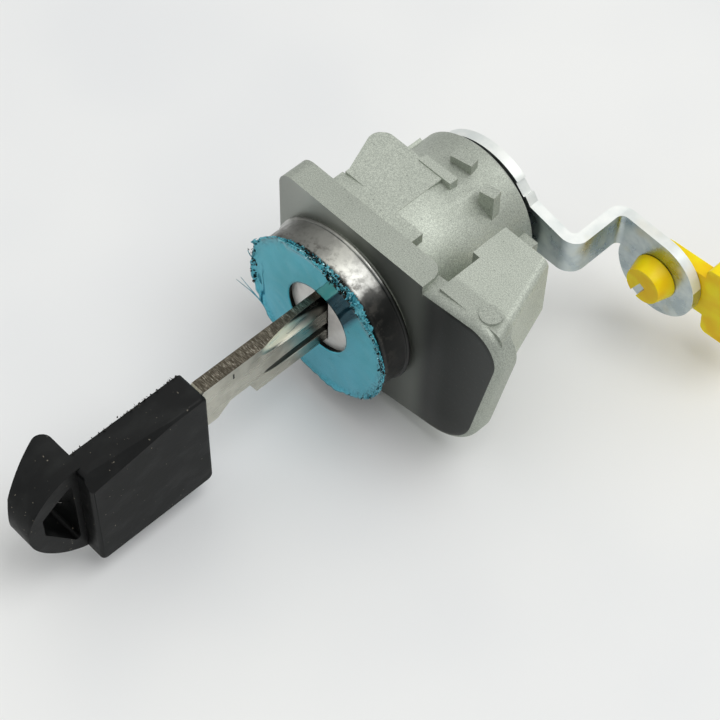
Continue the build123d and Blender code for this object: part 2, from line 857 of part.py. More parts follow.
# Key head: a block moulded round the blade's tang, with its top edge bevelled towards the loop
with BuildPart() as key_head:
    with BuildSketch(Plane.YZ.offset(-head_thickness / 2)):
        with Locations((y_at(head_front), head_low)):
            Rectangle(
                head_front - head_back,
                head_top - head_low,
                align=(Align.MAX, Align.MIN),
            )
        fillet(vertices(), head_corner)
    extrude(amount=head_thickness)
    fillet(key_head.faces().sort_by(Axis.X)[-1].edges(), head_edge_round)
    for depth, share in ((head_bevel_start, head_bevel_least), (head_back - head_corner, 1)):
        with BuildSketch(across(depth)):
            with BuildLine():
                Polyline(
                    (head_thickness / 2 - head_bevel_side * share, head_top + head_corner * share),
                    (head_thickness / 2 + head_corner * share, head_top + head_corner * share),
                    (head_thickness / 2 + head_corner * share, head_top - head_bevel_drop * share),
                    close=True,
                )
            make_face()
    loft(mode=Mode.SUBTRACT)
    add(loop.part)
    with BuildSketch(across(head_front)):
        Rectangle(
            blade_thickness + 2 * head_pocket_fit,
            blade_tang_height + 2 * head_pocket_fit,
        )
    extrude(amount=blade_into_head + head_pocket_fit, mode=Mode.SUBTRACT)
save("key_head", key_head.part)
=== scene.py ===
"""Door lock cylinder, dressed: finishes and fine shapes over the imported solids.

Lengths in the classes are millimetres in the row frame: the plug's axis is Y, the key enters
from -Y and Z is up. Each class builds one sub-assembly and hands its pieces to the frame.
"""

import logging
import math
import random
from dataclasses import dataclass
from enum import Enum
from typing import Callable, Sequence

import bmesh
import bpy
from mathutils import Matrix, Vector, noise


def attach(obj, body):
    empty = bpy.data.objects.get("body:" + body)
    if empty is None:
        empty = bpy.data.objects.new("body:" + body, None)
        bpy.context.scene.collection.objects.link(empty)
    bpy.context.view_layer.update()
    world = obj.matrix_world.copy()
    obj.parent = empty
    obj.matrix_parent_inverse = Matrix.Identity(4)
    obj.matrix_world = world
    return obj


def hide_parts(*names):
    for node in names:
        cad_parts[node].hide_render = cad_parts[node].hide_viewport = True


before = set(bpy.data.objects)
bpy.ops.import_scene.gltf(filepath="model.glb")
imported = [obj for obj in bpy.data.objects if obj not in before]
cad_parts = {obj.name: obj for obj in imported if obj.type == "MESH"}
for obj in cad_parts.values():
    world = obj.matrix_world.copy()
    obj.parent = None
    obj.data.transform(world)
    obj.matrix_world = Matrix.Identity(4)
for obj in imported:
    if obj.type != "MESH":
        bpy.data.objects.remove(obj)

MM = 0.001
SQUARE = ((-1, -1), (1, -1), (1, 1), (-1, 1))
Point = tuple[float, float, float]
Color = tuple[float, float, float]
Spot = tuple[float, float]
Patch = tuple[float, float, float, float, int, float]
Socket = bpy.types.NodeSocket

log = logging.getLogger("door_lock_cylinder")


class Body(Enum):
    """Bodies of the row that pieces ride on."""

    HOUSING = "housing"
    PLUG = "plug"
    KEY = "key"
    CLIP = "rod_clip"


class Nodes:
    """Short calls for the nodes of one tree."""

    def __init__(self, tree: bpy.types.NodeTree) -> None:
        """Keep the tree that the calls work on."""
        self.tree = tree

    def add(self, kind: str, **settings: object) -> bpy.types.Node:
        """Add a node and set its properties."""
        node = self.tree.nodes.new(kind)
        for key, value in settings.items():
            setattr(node, key, value)
        return node

    def link(self, source: Socket, target: Socket) -> None:
        """Join two sockets."""
        self.tree.links.new(source, target)

    def feed(self, target: Socket, value: object) -> None:
        """Give a socket a link, a number or a colour.

        Args:
            target: The input socket.
            value: Another socket, a number, or a colour of three numbers.
        """
        if isinstance(value, Socket):
            self.link(value, target)
        elif isinstance(value, tuple) and len(value) == 3 and len(target.default_value) == 4:
            target.default_value = (*value, 1.0)
        else:
            target.default_value = value

    def math(self, operation: str, first: object, second: object = 0.0) -> Socket:
        """One step of arithmetic on two sockets or numbers."""
        node = self.add("ShaderNodeMath", operation=operation)
        self.feed(node.inputs[0], first)
        self.feed(node.inputs[1], second)
        return node.outputs[0]

    def both(self, first: object, *others: object) -> Socket:
        """The product of shares, which is full only where each of them is."""
        product = first
        for share in others:
            product = self.math("MULTIPLY", product, share)
        return product


class Graph(Nodes):
    """A material's node tree that ends in one surface shader."""

    def __init__(self, name: str) -> None:
        """Start the tree.

        Args:
            name: Name of the material.
        """
        self.material = bpy.data.materials.new(name)
        self.material.use_nodes = True
        super().__init__(self.material.node_tree)
        self.tree.nodes.clear()
        output = self.add("ShaderNodeOutputMaterial")
        self.shader = self.add("ShaderNodeBsdfPrincipled")
        self.link(self.shader.outputs["BSDF"], output.inputs["Surface"])
        self.place = self.add("ShaderNodeTexCoord").outputs["Object"]

    def stretched(self, scale: Point) -> Socket:
        """Object coordinates, stretched along each axis."""
        mapping = self.add("ShaderNodeMapping")
        self.link(self.place, mapping.inputs["Vector"])
        mapping.inputs["Scale"].default_value = scale
        return mapping.outputs["Vector"]

    def noise(
        self, grain: float, detail: float = 2.0, stretch: Point | None = None, roughness: float = 0.55
    ) -> Socket:
        """Noise whose blotches are about grain millimetres across.

        Args:
            grain: Size of a blotch in millimetres.
            detail: Octaves of finer noise.
            stretch: Scale along each axis before the noise.
            roughness: Share of each finer octave.

        Returns:
            The noise value, about 0.5 on average.
        """
        node = self.add("ShaderNodeTexNoise")
        self.link(self.stretched(stretch) if stretch else self.place, node.inputs["Vector"])
        node.inputs["Scale"].default_value = 1.0 / (grain * MM)
        node.inputs["Detail"].default_value = detail
        node.inputs["Roughness"].default_value = roughness
        return node.outputs["Fac"]

    def band(
        self, value: Socket, low: float, high: float, first: float = 0.0, last: float = 1.0
    ) -> Socket:
        """A smooth step of value from first at low to last at high."""
        node = self.add("ShaderNodeMapRange", interpolation_type="SMOOTHSTEP")
        self.link(value, node.inputs["Value"])
        for key, number in (("From Min", low), ("From Max", high), ("To Min", first), ("To Max", last)):
            node.inputs[key].default_value = number
        return node.outputs["Result"]

    def mix(self, share: object, first: object, second: object, blend: str = "MIX") -> Socket:
        """Mix two colours.

        Args:
            share: Share of the second colour.
            first: First colour or socket.
            second: Second colour or socket.
            blend: Blend mode.

        Returns:
            The mixed colour.
        """
        node = self.add("ShaderNodeMix", data_type="RGBA", blend_type=blend)
        self.feed(node.inputs[0], share)
        self.feed(node.inputs[6], first)
        self.feed(node.inputs[7], second)
        return node.outputs[2]

    def ramp(self, value: Socket, stops: Sequence[tuple[float, Color]]) -> Socket:
        """A colour that follows a value through named stops.

        Args:
            value: The value to follow.
            stops: Values and their colours, lowest value first.

        Returns:
            The colour.
        """
        low, high = stops[0][0], stops[-1][0]
        share = self.math("DIVIDE", self.math("SUBTRACT", value, low), high - low)
        node = self.add("ShaderNodeValToRGB")
        node.color_ramp.interpolation = "EASE"
        marks = node.color_ramp.elements
        for _ in stops[2:]:
            marks.new(0.5)
        for mark, (place, color) in zip(marks, stops):
            mark.position = (place - low) / (high - low)
            mark.color = (*color, 1.0)
        self.link(share, node.inputs[0])
        return node.outputs[0]

    def turn(self) -> Socket:
        """Angle round the plug's axis in degrees, from +X towards +Z."""
        x, _, z = self.axes()
        return self.math("DEGREES", self.math("ARCTAN2", z, x))

    def reach(self) -> Socket:
        """Distance from the plug's axis in millimetres."""
        x, _, z = self.axes()
        square = self.math("ADD", self.math("POWER", x, 2.0), self.math("POWER", z, 2.0))
        return self.math("DIVIDE", self.math("SQRT", square), MM)

    def axes(self) -> tuple[Socket, Socket, Socket]:
        """X, Y and Z of the object coordinates."""
        node = self.add("ShaderNodeSeparateXYZ")
        self.link(self.place, node.inputs[0])
        return node.outputs[0], node.outputs[1], node.outputs[2]

    def bump(
        self, height: Socket, depth: float, strength: float = 1.0, under: Socket | None = None
    ) -> Socket:
        """Bump from a height.

        Args:
            height: Height, 0 to 1.
            depth: Depth of the bump in millimetres.
            strength: Strength of the bump.
            under: Normal of a coarser bump below this one.

        Returns:
            The bumped normal.
        """
        node = self.add("ShaderNodeBump")
        node.inputs["Strength"].default_value = strength
        node.inputs["Distance"].default_value = depth * MM
        self.link(height, node.inputs["Height"])
        if under:
            self.link(under, node.inputs["Normal"])
        return node.outputs["Normal"]

    def surface(self, **values: object) -> bpy.types.Material:
        """Set the shader's sockets by name, with underscores for spaces, and return the material."""
        for key, value in values.items():
            self.feed(self.shader.inputs[key.replace("_", " ")], value)
        return self.material


@dataclass(frozen=True)
class CastZinc:
    """Sand-rough die-cast zinc with a fine speckle, darker on the flange strip, with painted shade that
    darkens the barrel towards its end.
    """

    name: str = "cast_zinc_satin"
    light: Color = (0.63, 0.67, 0.59)
    dark: Color = (0.38, 0.41, 0.36)
    pit: Color = (0.12, 0.13, 0.115)
    roughness: float = 0.52
    grain: float = 0.15
    metallic: float = 0.7
    flange_tone: float = 0.82
    flange_rear: float = 7.4
    barrel_shade_tone: float = 0.86
    barrel_rear: float = 24.0

    def build(self) -> bpy.types.Material:
        """Make the material."""
        graph = Graph(self.name)
        speck = graph.noise(self.grain, 3.0, roughness=0.7)
        cloud = graph.noise(7.0, 3.0)
        _, y, _ = graph.axes()
        tone = graph.mix(graph.band(speck, 0.38, 0.62), self.dark, self.light)
        tone = graph.mix(graph.band(cloud, 0.35, 0.8, 0.0, 0.3), tone, self.dark)
        tone = graph.mix(graph.band(graph.noise(0.3, 2.0), 0.66, 0.72, 0.0, 0.7), tone, self.pit)
        # a darker band on the flange strip, and painted shade that darkens the barrel towards its end
        front = graph.band(y, (self.flange_rear - 0.7) * MM, self.flange_rear * MM, self.flange_tone, 1.0)
        rear = graph.band(y, (self.barrel_rear - 7.0) * MM, self.barrel_rear * MM, 1.0, self.barrel_shade_tone)
        shade = graph.both(front, rear)
        grey = graph.add("ShaderNodeCombineColor")
        for socket in grey.inputs[:3]:
            graph.link(shade, socket)
        tone = graph.mix(1.0, tone, grey.outputs[0], "MULTIPLY")
        rough = graph.band(cloud, 0.2, 0.8, self.roughness - 0.06, self.roughness + 0.08)
        coarse = graph.bump(graph.noise(0.9, 2.0), 0.03, 0.35)
        normal = graph.bump(speck, 0.03, 0.8, coarse)
        return graph.surface(Base_Color=tone, Metallic=self.metallic, Roughness=rough, Normal=normal)


@dataclass(frozen=True)
class SmoothZinc:
    """Smooth skin on the flange's front, darkened with painted shade and a painted dark reflection: grey at
    its square end, near black over the lobe.
    """

    name: str = "cast_zinc_dark"
    stops: tuple[tuple[float, Color], ...] = (
        (-13.0, (0.33, 0.345, 0.315)),
        (-6.5, (0.42, 0.44, 0.40)),
        (-1.5, (0.48, 0.50, 0.45)),
        (2.5, (0.23, 0.245, 0.215)),
        (6.0, (0.115, 0.122, 0.11)),
        (12.0, (0.18, 0.19, 0.17)),
        (15.5, (0.05, 0.052, 0.049)),
        (18.5, (0.024, 0.026, 0.024)),
        (26.0, (0.05, 0.053, 0.05)),
    )
    pale_grey: Color = (0.16, 0.165, 0.155)

    def build(self) -> bpy.types.Material:
        """Make the material."""
        graph = Graph(self.name)
        x, _, z = graph.axes()
        # painted shade and a painted dark reflection, graded along X
        tone = graph.ramp(graph.math("DIVIDE", x, MM), self.stops)
        # a pale grey mixed in towards the bottom
        low = graph.band(z, -14.0 * MM, -7.0 * MM, 0.22, 0.0)
        tone = graph.mix(low, tone, self.pale_grey)
        speck = graph.noise(0.3, 3.0)
        tone = graph.mix(graph.band(speck, 0.58, 0.8, 0.0, 0.2), tone, self.pale_grey)
        normal = graph.bump(speck, 0.015, 0.4, graph.bump(graph.noise(3.5, 2.0), 0.06, 0.3))
        return graph.surface(
            Base_Color=tone, Metallic=0.55, Roughness=0.45, Normal=normal, Specular_IOR_Level=0.3
        )


@dataclass(frozen=True)
class SatinSteel:
    """Drawn stainless sheet with a blotchy haze and painted reflection and shade by angle: bright on top,
    near black low on the right, near black round the hole.
    """

    name: str = "satin_steel"
    stops: tuple[tuple[float, Color], ...] = (
        (-180.0, (0.30, 0.30, 0.29)),
        (-60.0, (0.10, 0.10, 0.10)),
        (-25.0, (0.05, 0.05, 0.05)),
        (44.0, (0.035, 0.036, 0.034)),
        (53.0, (0.07, 0.07, 0.066)),
        (61.0, (0.36, 0.36, 0.34)),
        (72.0, (0.42, 0.42, 0.39)),
        (82.0, (0.55, 0.55, 0.50)),
        (95.0, (0.30, 0.30, 0.275)),
        (128.0, (0.17, 0.17, 0.155)),
        (150.0, (0.52, 0.52, 0.50)),
        (180.0, (0.30, 0.30, 0.29)),
    )
    haze: Color = (0.10, 0.095, 0.085)
    hole_shade: Color = (0.012, 0.013, 0.012)
    roughness: float = 0.36
    line_pitch: float = 0.16
    wander: float = 26.0
    plate_reach: float = 6.05

    def build(self) -> bpy.types.Material:
        """Make the material."""
        graph = Graph(self.name)
        blotch = graph.noise(1.5, 5.0, roughness=0.72)
        wander = graph.both(graph.math("SUBTRACT", graph.noise(2.0, 3.0), 0.5), self.wander)
        # painted reflection and painted shade: the tone follows the angle round the axis
        tone = graph.ramp(graph.math("ADD", graph.turn(), wander), self.stops)
        _, y, _ = graph.axes()
        lines = graph.math("SINE", graph.both(y, 2 * math.pi / (self.line_pitch * MM)))
        near_film = graph.band(y, -1.9 * MM, 0.6 * MM, 0.75, 0.15)
        stain = graph.both(graph.band(blotch, 0.47, 0.62), near_film)
        tone = graph.mix(stain, tone, self.haze)
        # painted shade round the hole's edge
        inner = graph.band(graph.reach(), self.plate_reach - 0.2, self.plate_reach, 1.0, 0.0)
        tone = graph.mix(inner, tone, self.hole_shade)
        rough = graph.band(blotch, 0.3, 0.7, self.roughness - 0.05, self.roughness + 0.16)
        normal = graph.bump(lines, 0.003, 0.3, graph.bump(graph.noise(0.3, 3.0), 0.02, 0.6))
        return graph.surface(Base_Color=tone, Metallic=1.0, Roughness=rough, Normal=normal)


@dataclass(frozen=True)
class FilmPlastic:
    """Thin blue film that mirrors the key a little, with a painted reflection of the key's edge and side,
    creases, a dirty rim and a painted highlight along the rim.
    """

    name: str = "film_blue"
    deep: Color = (0.05, 0.36, 0.43)
    pale: Color = (0.115, 0.50, 0.64)
    dirt: Color = (0.008, 0.035, 0.05)
    shine: Color = (0.30, 0.72, 0.80)
    painted_edge_reflection: Color = (0.10, 0.42, 0.40)
    painted_side_reflection: Color = (0.0005, 0.065, 0.12)
    metallic: float = 0.8
    rim: float = 10.9
    lean: float = 1.85
    strip_low: float = 2.0
    strip_high: float = 6.1
    strip_end: float = 3.9
    image_low: float = -8.0
    image_reach: float = 12.2

    def build(self) -> bpy.types.Material:
        """Make the material."""
        graph = Graph(self.name)
        x, _, z = graph.axes()
        cloud = graph.noise(5.0, 3.0)
        height = graph.band(z, -9.0 * MM, 5.0 * MM, 0.85, 0.2)
        share = graph.math("ADD", height, graph.band(cloud, 0.3, 0.7, -0.2, 0.2))
        tone = graph.mix(share, self.deep, self.pale)
        reach = graph.reach()
        near_rim = graph.band(reach, self.rim, self.rim + 1.3)
        side = graph.band(graph.math("ADD", x, z), -7.0 * MM, 6.0 * MM, 0.35, 1.0)
        crumbs = graph.noise(0.33, 4.0, roughness=0.75)
        tone = graph.mix(graph.both(near_rim, graph.band(crumbs, 0.30, 0.44, 0.9, 0.0)), tone, self.shine)
        tone = graph.mix(graph.both(near_rim, side, graph.band(crumbs, 0.50, 0.58)), tone, self.dirt)
        tone = graph.mix(graph.band(graph.noise(0.4, 1.0), 0.72, 0.78, 0.0, 0.6), tone, self.dirt)
        # painted reflection of the key: its top edge as a pale strip, its side as a dark patch
        line, low = self.painted_key_reflection(graph)
        tone = graph.mix(graph.both(low, 0.96), tone, self.painted_side_reflection)
        tone = graph.mix(graph.both(line, 0.8), tone, self.painted_edge_reflection)
        mirror = graph.math("SUBTRACT", self.metallic, graph.both(line, 0.7))
        crease = graph.noise(2.6, 3.0, roughness=0.5, stretch=(1.0, 1.0, 0.7))
        normal = graph.bump(crease, 0.03, 0.4, graph.bump(cloud, 0.08, 0.3))
        rough = graph.band(crease, 0.3, 0.7, 0.07, 0.15)
        return graph.surface(
            Base_Color=tone,
            Metallic=mirror,
            Roughness=rough,
            Normal=normal,
            Specular_IOR_Level=0.5,
        )

    def painted_key_reflection(self, graph: Graph) -> tuple[Socket, Socket]:
        """Shares of the painted reflection of the key's pale top edge and dark side, slanting in the film."""
        x, _, z = graph.axes()
        across = graph.math("SUBTRACT", z, graph.both(x, self.lean))
        inside = graph.band(graph.reach(), self.image_reach - 0.8, self.image_reach, 1.0, 0.0)
        upper = graph.band(z, self.strip_end * MM, (self.strip_end + 0.4) * MM)
        below = graph.band(across, (self.strip_high - 0.5) * MM, self.strip_high * MM, 1.0, 0.0)
        above = graph.band(across, self.strip_low * MM, (self.strip_low + 0.4) * MM)
        under = graph.band(across, (self.strip_low - 0.3) * MM, (self.strip_low + 0.2) * MM, 1.0, 0.0)
        over = graph.band(across, self.image_low * MM, (self.image_low + 2.5) * MM)
        beyond = graph.band(x, 0.9 * MM, 1.3 * MM)
        return graph.both(below, above, upper, inside), graph.both(under, inside, over, beyond)


@dataclass(frozen=True)
class PlatedZinc:
    """Bright zinc plating with a bluish tint and yellowish clouds."""

    name: str = "zinc_plating"
    blue: Color = (0.40, 0.47, 0.50)
    white: Color = (0.60, 0.66, 0.66)
    yellow: Color = (0.50, 0.43, 0.20)
    roughness: float = 0.27
    metallic: float = 1.0

    def build(self) -> bpy.types.Material:
        """Make the material."""
        graph = Graph(self.name)
        cloud = graph.noise(3.5, 3.0)
        tint = graph.noise(8.0, 2.0, stretch=(1.0, 1.4, 1.0))
        tone = graph.mix(graph.band(cloud, 0.35, 0.65), self.blue, self.white)
        tone = graph.mix(graph.band(tint, 0.56, 0.74, 0.0, 0.7), tone, self.yellow)
        rough = graph.band(cloud, 0.25, 0.75, self.roughness - 0.05, self.roughness + 0.12)
        grain = graph.bump(graph.noise(0.25, 3.0), 0.012, 0.5)
        normal = graph.bump(graph.noise(2.4, 2.0), 0.05, 0.35, grain)
        return graph.surface(Base_Color=tone, Metallic=self.metallic, Roughness=rough, Normal=normal)


@dataclass(frozen=True)
class YellowMoulding:
    """Glossy yellow plastic, more orange where it is thick."""

    name: str = "yellow_moulding"
    bright: Color = (0.95, 0.76, 0.002)
    deep: Color = (0.88, 0.56, 0.001)

    def build(self) -> bpy.types.Material:
        """Make the material."""
        graph = Graph(self.name)
        cloud = graph.noise(4.0, 2.0)
        tone = graph.mix(graph.band(cloud, 0.35, 0.7), self.bright, self.deep)
        normal = graph.bump(graph.noise(0.9, 2.0), 0.03, 0.3)
        rough = graph.band(cloud, 0.3, 0.7, 0.28, 0.42)
        return graph.surface(
            Base_Color=tone,
            Roughness=rough,
            Normal=normal,
            Subsurface_Weight=0.15,
            Subsurface_Radius=(0.002, 0.0011, 0.0002),
            Subsurface_Scale=0.6,
            Specular_IOR_Level=0.22,
        )


@dataclass(frozen=True)
class BlackMoulding:
    """Matt black plastic with dust and beige flecks."""

    name: str = "black_moulding"
    black: Color = (0.0035, 0.004, 0.004)
    dusty: Color = (0.012, 0.013, 0.0125)
    fleck: Color = (0.30, 0.27, 0.21)

    def build(self) -> bpy.types.Material:
        """Make the material."""
        graph = Graph(self.name)
        cloud = graph.noise(3.0, 4.0, stretch=(1.0, 0.6, 1.0))
        tone = graph.mix(graph.band(cloud, 0.4, 0.75), self.black, self.dusty)
        flecks = graph.band(graph.noise(0.5, 1.0), 0.74, 0.79, 0.0, 0.6)
        tone = graph.mix(flecks, tone, self.fleck)
        scuff = graph.noise(0.3, 3.0, stretch=(1.0, 0.35, 1.0))
        normal = graph.bump(scuff, 0.02, 0.6, graph.bump(graph.noise(1.6, 2.0), 0.05, 0.3))
        rough = graph.band(cloud, 0.3, 0.7, 0.46, 0.62)
        return graph.surface(Base_Color=tone, Roughness=rough, Normal=normal, Specular_IOR_Level=0.22)


@dataclass(frozen=True)
class MilledNickel:
    """Milled nickel silver, brushed along the blade, with painted light on the wide groove's floor and
    painted shade near the mouth and in the slim groove.
    """

    name: str = "milled_nickel"
    light: Color = (0.58, 0.565, 0.49)
    dark: Color = (0.42, 0.41, 0.35)
    floor: Color = (0.90, 0.86, 0.68)
    black: Color = (0.012, 0.014, 0.012)
    roughness: float = 0.30
    groove_low: float = 1.7
    groove_end: float = -9.0
    mouth_start: float = -10.0
    mouth_end: float = 2.5
    slim_middle: float = -1.4
    slim_half: float = 1.3

    def build(self) -> bpy.types.Material:
        """Make the material."""
        graph = Graph(self.name)
        strokes = graph.noise(0.4, 3.0, stretch=(1.0, 0.08, 1.0))
        cloud = graph.noise(3.0, 3.0)
        tone = graph.mix(graph.band(cloud, 0.35, 0.75), self.light, self.dark)
        x, y, z = graph.axes()
        # painted light: the wide groove's floor paler and less metallic
        depth = graph.band(x, 0.75 * MM, 1.05 * MM, 1.0, 0.0)
        groove = graph.both(depth, graph.band(z, self.groove_low * MM, (self.groove_low + 0.3) * MM))
        outer = graph.band(y, self.groove_end * MM, (self.groove_end + 4.0) * MM, 1.0, 0.0)
        pale = graph.both(groove, outer)
        tone = graph.mix(pale, tone, self.floor)
        mirror = graph.math("SUBTRACT", 1.0, graph.both(pale, 0.65))
        # painted shade: black over the groove's upper part near the mouth and in a zone before the mouth
        upper = graph.band(graph.math("ADD", z, graph.both(y, 0.2)), 1.6 * MM, 2.1 * MM)
        mouth_shade = graph.band(y, (self.mouth_end - 4.0) * MM, self.mouth_end * MM, 1.0, 0.0)
        near = graph.band(y, self.mouth_start * MM, (self.mouth_start + 3.5) * MM)
        tone = graph.mix(graph.both(upper, near, mouth_shade), tone, self.black)
        tone = graph.mix(graph.both(graph.band(y, -6.5 * MM, -2.6 * MM, 0.0, 0.6), mouth_shade), tone, self.black)
        # painted shade in the slim groove
        slim = graph.band(x, 1.0 * MM, 1.07 * MM, 0.9, 0.0)
        slim = graph.both(slim, self.beside(graph, z, self.slim_middle, self.slim_half))
        tone = graph.mix(slim, tone, self.black)
        mark = graph.both(self.beside(graph, y, -18.0, 0.16), self.beside(graph, z, 2.8, 0.6))
        tone = graph.mix(mark, tone, self.black)
        rough = graph.band(strokes, 0.3, 0.7, self.roughness - 0.06, self.roughness + 0.1)
        normal = graph.bump(strokes, 0.012, 0.5)
        return graph.surface(Base_Color=tone, Metallic=mirror, Roughness=rough, Normal=normal)

    @staticmethod
    def beside(graph: Graph, value: Socket, place: float, half: float) -> Socket:
        """1 where a coordinate lies within half millimetres of a place, else 0."""
        gap = graph.math("ABSOLUTE", graph.math("SUBTRACT", value, place * MM))
        return graph.band(gap, half * 0.7 * MM, half * MM, 1.0, 0.0)


@dataclass(frozen=True)
class WornEdge:
    """The blade's worn top edge: brown metal crossed by rough cutter marks."""

    name: str = "blade_edge"
    brown: Color = (0.07, 0.06, 0.045)
    middle: Color = (0.20, 0.18, 0.14)
    bright: Color = (0.66, 0.62, 0.52)

    def build(self) -> bpy.types.Material:
        """Make the material."""
        graph = Graph(self.name)
        marks = graph.noise(0.22, 3.0, stretch=(0.3, 1.5, 1.0), roughness=0.75)
        cloud = graph.noise(2.0, 3.0)
        tone = graph.mix(graph.band(marks, 0.40, 0.60), self.brown, self.middle)
        tone = graph.mix(graph.band(marks, 0.60, 0.68, 0.0, 0.8), tone, self.bright)
        tone = graph.mix(graph.band(cloud, 0.4, 0.7, 0.0, 0.5), tone, self.brown)
        normal = graph.bump(marks, 0.05, 0.7)
        return graph.surface(Base_Color=tone, Metallic=0.95, Roughness=0.33, Normal=normal)


@dataclass(frozen=True)
class PlainMetal:
    """Metal of the small and hidden pieces, with a cloud of tone and a fine grain."""

    name: str
    light: Color
    dark: Color
    roughness: float = 0.35
    grain: float = 0.25
    metallic: float = 1.0

    def build(self) -> bpy.types.Material:
        """Make the material."""
        graph = Graph(self.name)
        cloud = graph.noise(2.5, 3.0)
        tone = graph.mix(graph.band(cloud, 0.35, 0.7), self.light, self.dark)
        rough = graph.band(cloud, 0.3, 0.7, self.roughness - 0.05, self.roughness + 0.1)
        normal = graph.bump(graph.noise(self.grain, 3.0), 0.012, 0.5)
        return graph.surface(Base_Color=tone, Metallic=self.metallic, Roughness=rough, Normal=normal)


@dataclass(frozen=True)
class SealRubber:
    """Black rubber of the plug's seal."""

    name: str = "seal_rubber_black"
    black: Color = (0.02, 0.02, 0.02)
    grey: Color = (0.05, 0.05, 0.05)

    def build(self) -> bpy.types.Material:
        """Make the material."""
        graph = Graph(self.name)
        cloud = graph.noise(1.0, 3.0)
        tone = graph.mix(graph.band(cloud, 0.4, 0.7), self.black, self.grey)
        return graph.surface(Base_Color=tone, Roughness=0.7, Normal=graph.bump(cloud, 0.03, 0.5))


@dataclass(frozen=True)
class TableTop:
    """Pale table with broad faint grey clouds, a painted shade."""

    name: str = "table_top"
    pale: Color = (0.86, 0.865, 0.855)
    grey: Color = (0.80, 0.81, 0.815)

    def build(self) -> bpy.types.Material:
        """Make the material."""
        graph = Graph(self.name)
        cloud = graph.noise(60.0, 2.0)
        tone = graph.mix(graph.band(cloud, 0.35, 0.7), self.pale, self.grey)
        return graph.surface(Base_Color=tone, Roughness=0.6, Specular_IOR_Level=0.2)


class Meshes:
    """Mesh work that the sub-assemblies share."""

    @staticmethod
    def add(name: str, mesh: bpy.types.Mesh, *materials: bpy.types.Material) -> bpy.types.Object:
        """Make an object of a mesh, with its materials in order."""
        piece = bpy.data.objects.new(name, mesh)
        bpy.context.scene.collection.objects.link(piece)
        mesh.materials.clear()
        for material in materials:
            mesh.materials.append(material)
        return piece

    @staticmethod
    def bake(piece: bpy.types.Object) -> None:
        """Turn a piece's modifiers into its plain mesh."""
        graph = bpy.context.evaluated_depsgraph_get()
        mesh = bpy.data.meshes.new_from_object(piece.evaluated_get(graph))
        old = piece.data
        piece.modifiers.clear()
        piece.data = mesh
        bpy.data.meshes.remove(old)

    @staticmethod
    def merged(node: str) -> bpy.types.Mesh:
        """A copy of a node's mesh with its doubles merged and its flat faces whole."""
        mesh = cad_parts[node].data.copy()
        work = bmesh.new()
        work.from_mesh(mesh)
        bmesh.ops.remove_doubles(work, verts=work.verts, dist=1e-6)
        bmesh.ops.dissolve_limit(
            work, angle_limit=math.radians(0.6), verts=work.verts, edges=work.edges
        )
        for face in work.faces:
            face.smooth = True
            face.material_index = 0
        work.to_mesh(mesh)
        work.free()
        kept = mesh.attributes.get("custom_normal")
        if kept:
            mesh.attributes.remove(kept)
        return mesh

    @staticmethod
    def softened(
        node: str,
        name: str,
        width: float,
        materials: Sequence[bpy.types.Material],
        segments: int = 2,
        angle: float = 32.0,
        edge_slot: int = -1,
        sharp: float = 0.0,
    ) -> bpy.types.Object:
        """A copy of a node with its edges rounded, which stands for the node.

        Args:
            node: Name of the CAD node.
            name: Name of the new piece.
            width: Width of the rounding in millimetres.
            materials: Materials of the piece.
            segments: Steps in the rounding.
            angle: Edges sharper than this are rounded, in degrees.
            edge_slot: Material of the rounded edges, or -1 for their neighbours'.
            sharp: Crisp shading from this angle in degrees, or 0 for soft shading.

        Returns:
            The new piece.
        """
        piece = Meshes.add(name, Meshes.merged(node), *materials)
        bevel = piece.modifiers.new("edges", "BEVEL")
        bevel.width = width * MM
        bevel.segments = segments
        bevel.limit_method = "ANGLE"
        bevel.angle_limit = math.radians(angle)
        bevel.miter_outer = "MITER_ARC"
        bevel.use_clamp_overlap = True
        bevel.harden_normals = False
        bevel.material = edge_slot
        if not sharp:
            weighted = piece.modifiers.new("shading", "WEIGHTED_NORMAL")
            weighted.keep_sharp = True
        Meshes.bake(piece)
        piece.data.set_sharp_from_angle(angle=math.radians(sharp or 50.0))
        return piece

    @staticmethod
    def tubes(name: str, runs: Sequence[Sequence[Point]], radius: float, taper: float) -> bpy.types.Mesh:
        """Thin tubes along smooth paths.

        Args:
            name: Name of the mesh.
            runs: Points of each path in millimetres.
            radius: Radius of a tube in millimetres.
            taper: Share of the radius lost at each point.

        Returns:
            The tubes' mesh.
        """
        curve = bpy.data.curves.new(name, "CURVE")
        curve.dimensions = "3D"
        curve.bevel_depth = radius * MM
        curve.bevel_resolution = 1
        curve.resolution_u = 8
        curve.use_fill_caps = True
        for run in runs:
            spline = curve.splines.new("NURBS")
            spline.points.add(len(run) - 1)
            for step, (point, spot) in enumerate(zip(spline.points, run)):
                point.co = (*(value * MM for value in spot), 1.0)
                point.radius = 1.0 - taper * step
            spline.order_u = 3
            spline.use_endpoint_u = True
        holder = bpy.data.objects.new(name + "_path", curve)
        bpy.context.scene.collection.objects.link(holder)
        graph = bpy.context.evaluated_depsgraph_get()
        mesh = bpy.data.meshes.new_from_object(holder.evaluated_get(graph))
        bpy.data.objects.remove(holder)
        return mesh

    @staticmethod
    def paint(piece: bpy.types.Object, slot: int, picks: Callable[[Vector, Vector], bool]) -> None:
        """Give a material to the faces that a test of centre and normal picks."""
        for face in piece.data.polygons:
            if picks(face.center, face.normal):
                face.material_index = slot


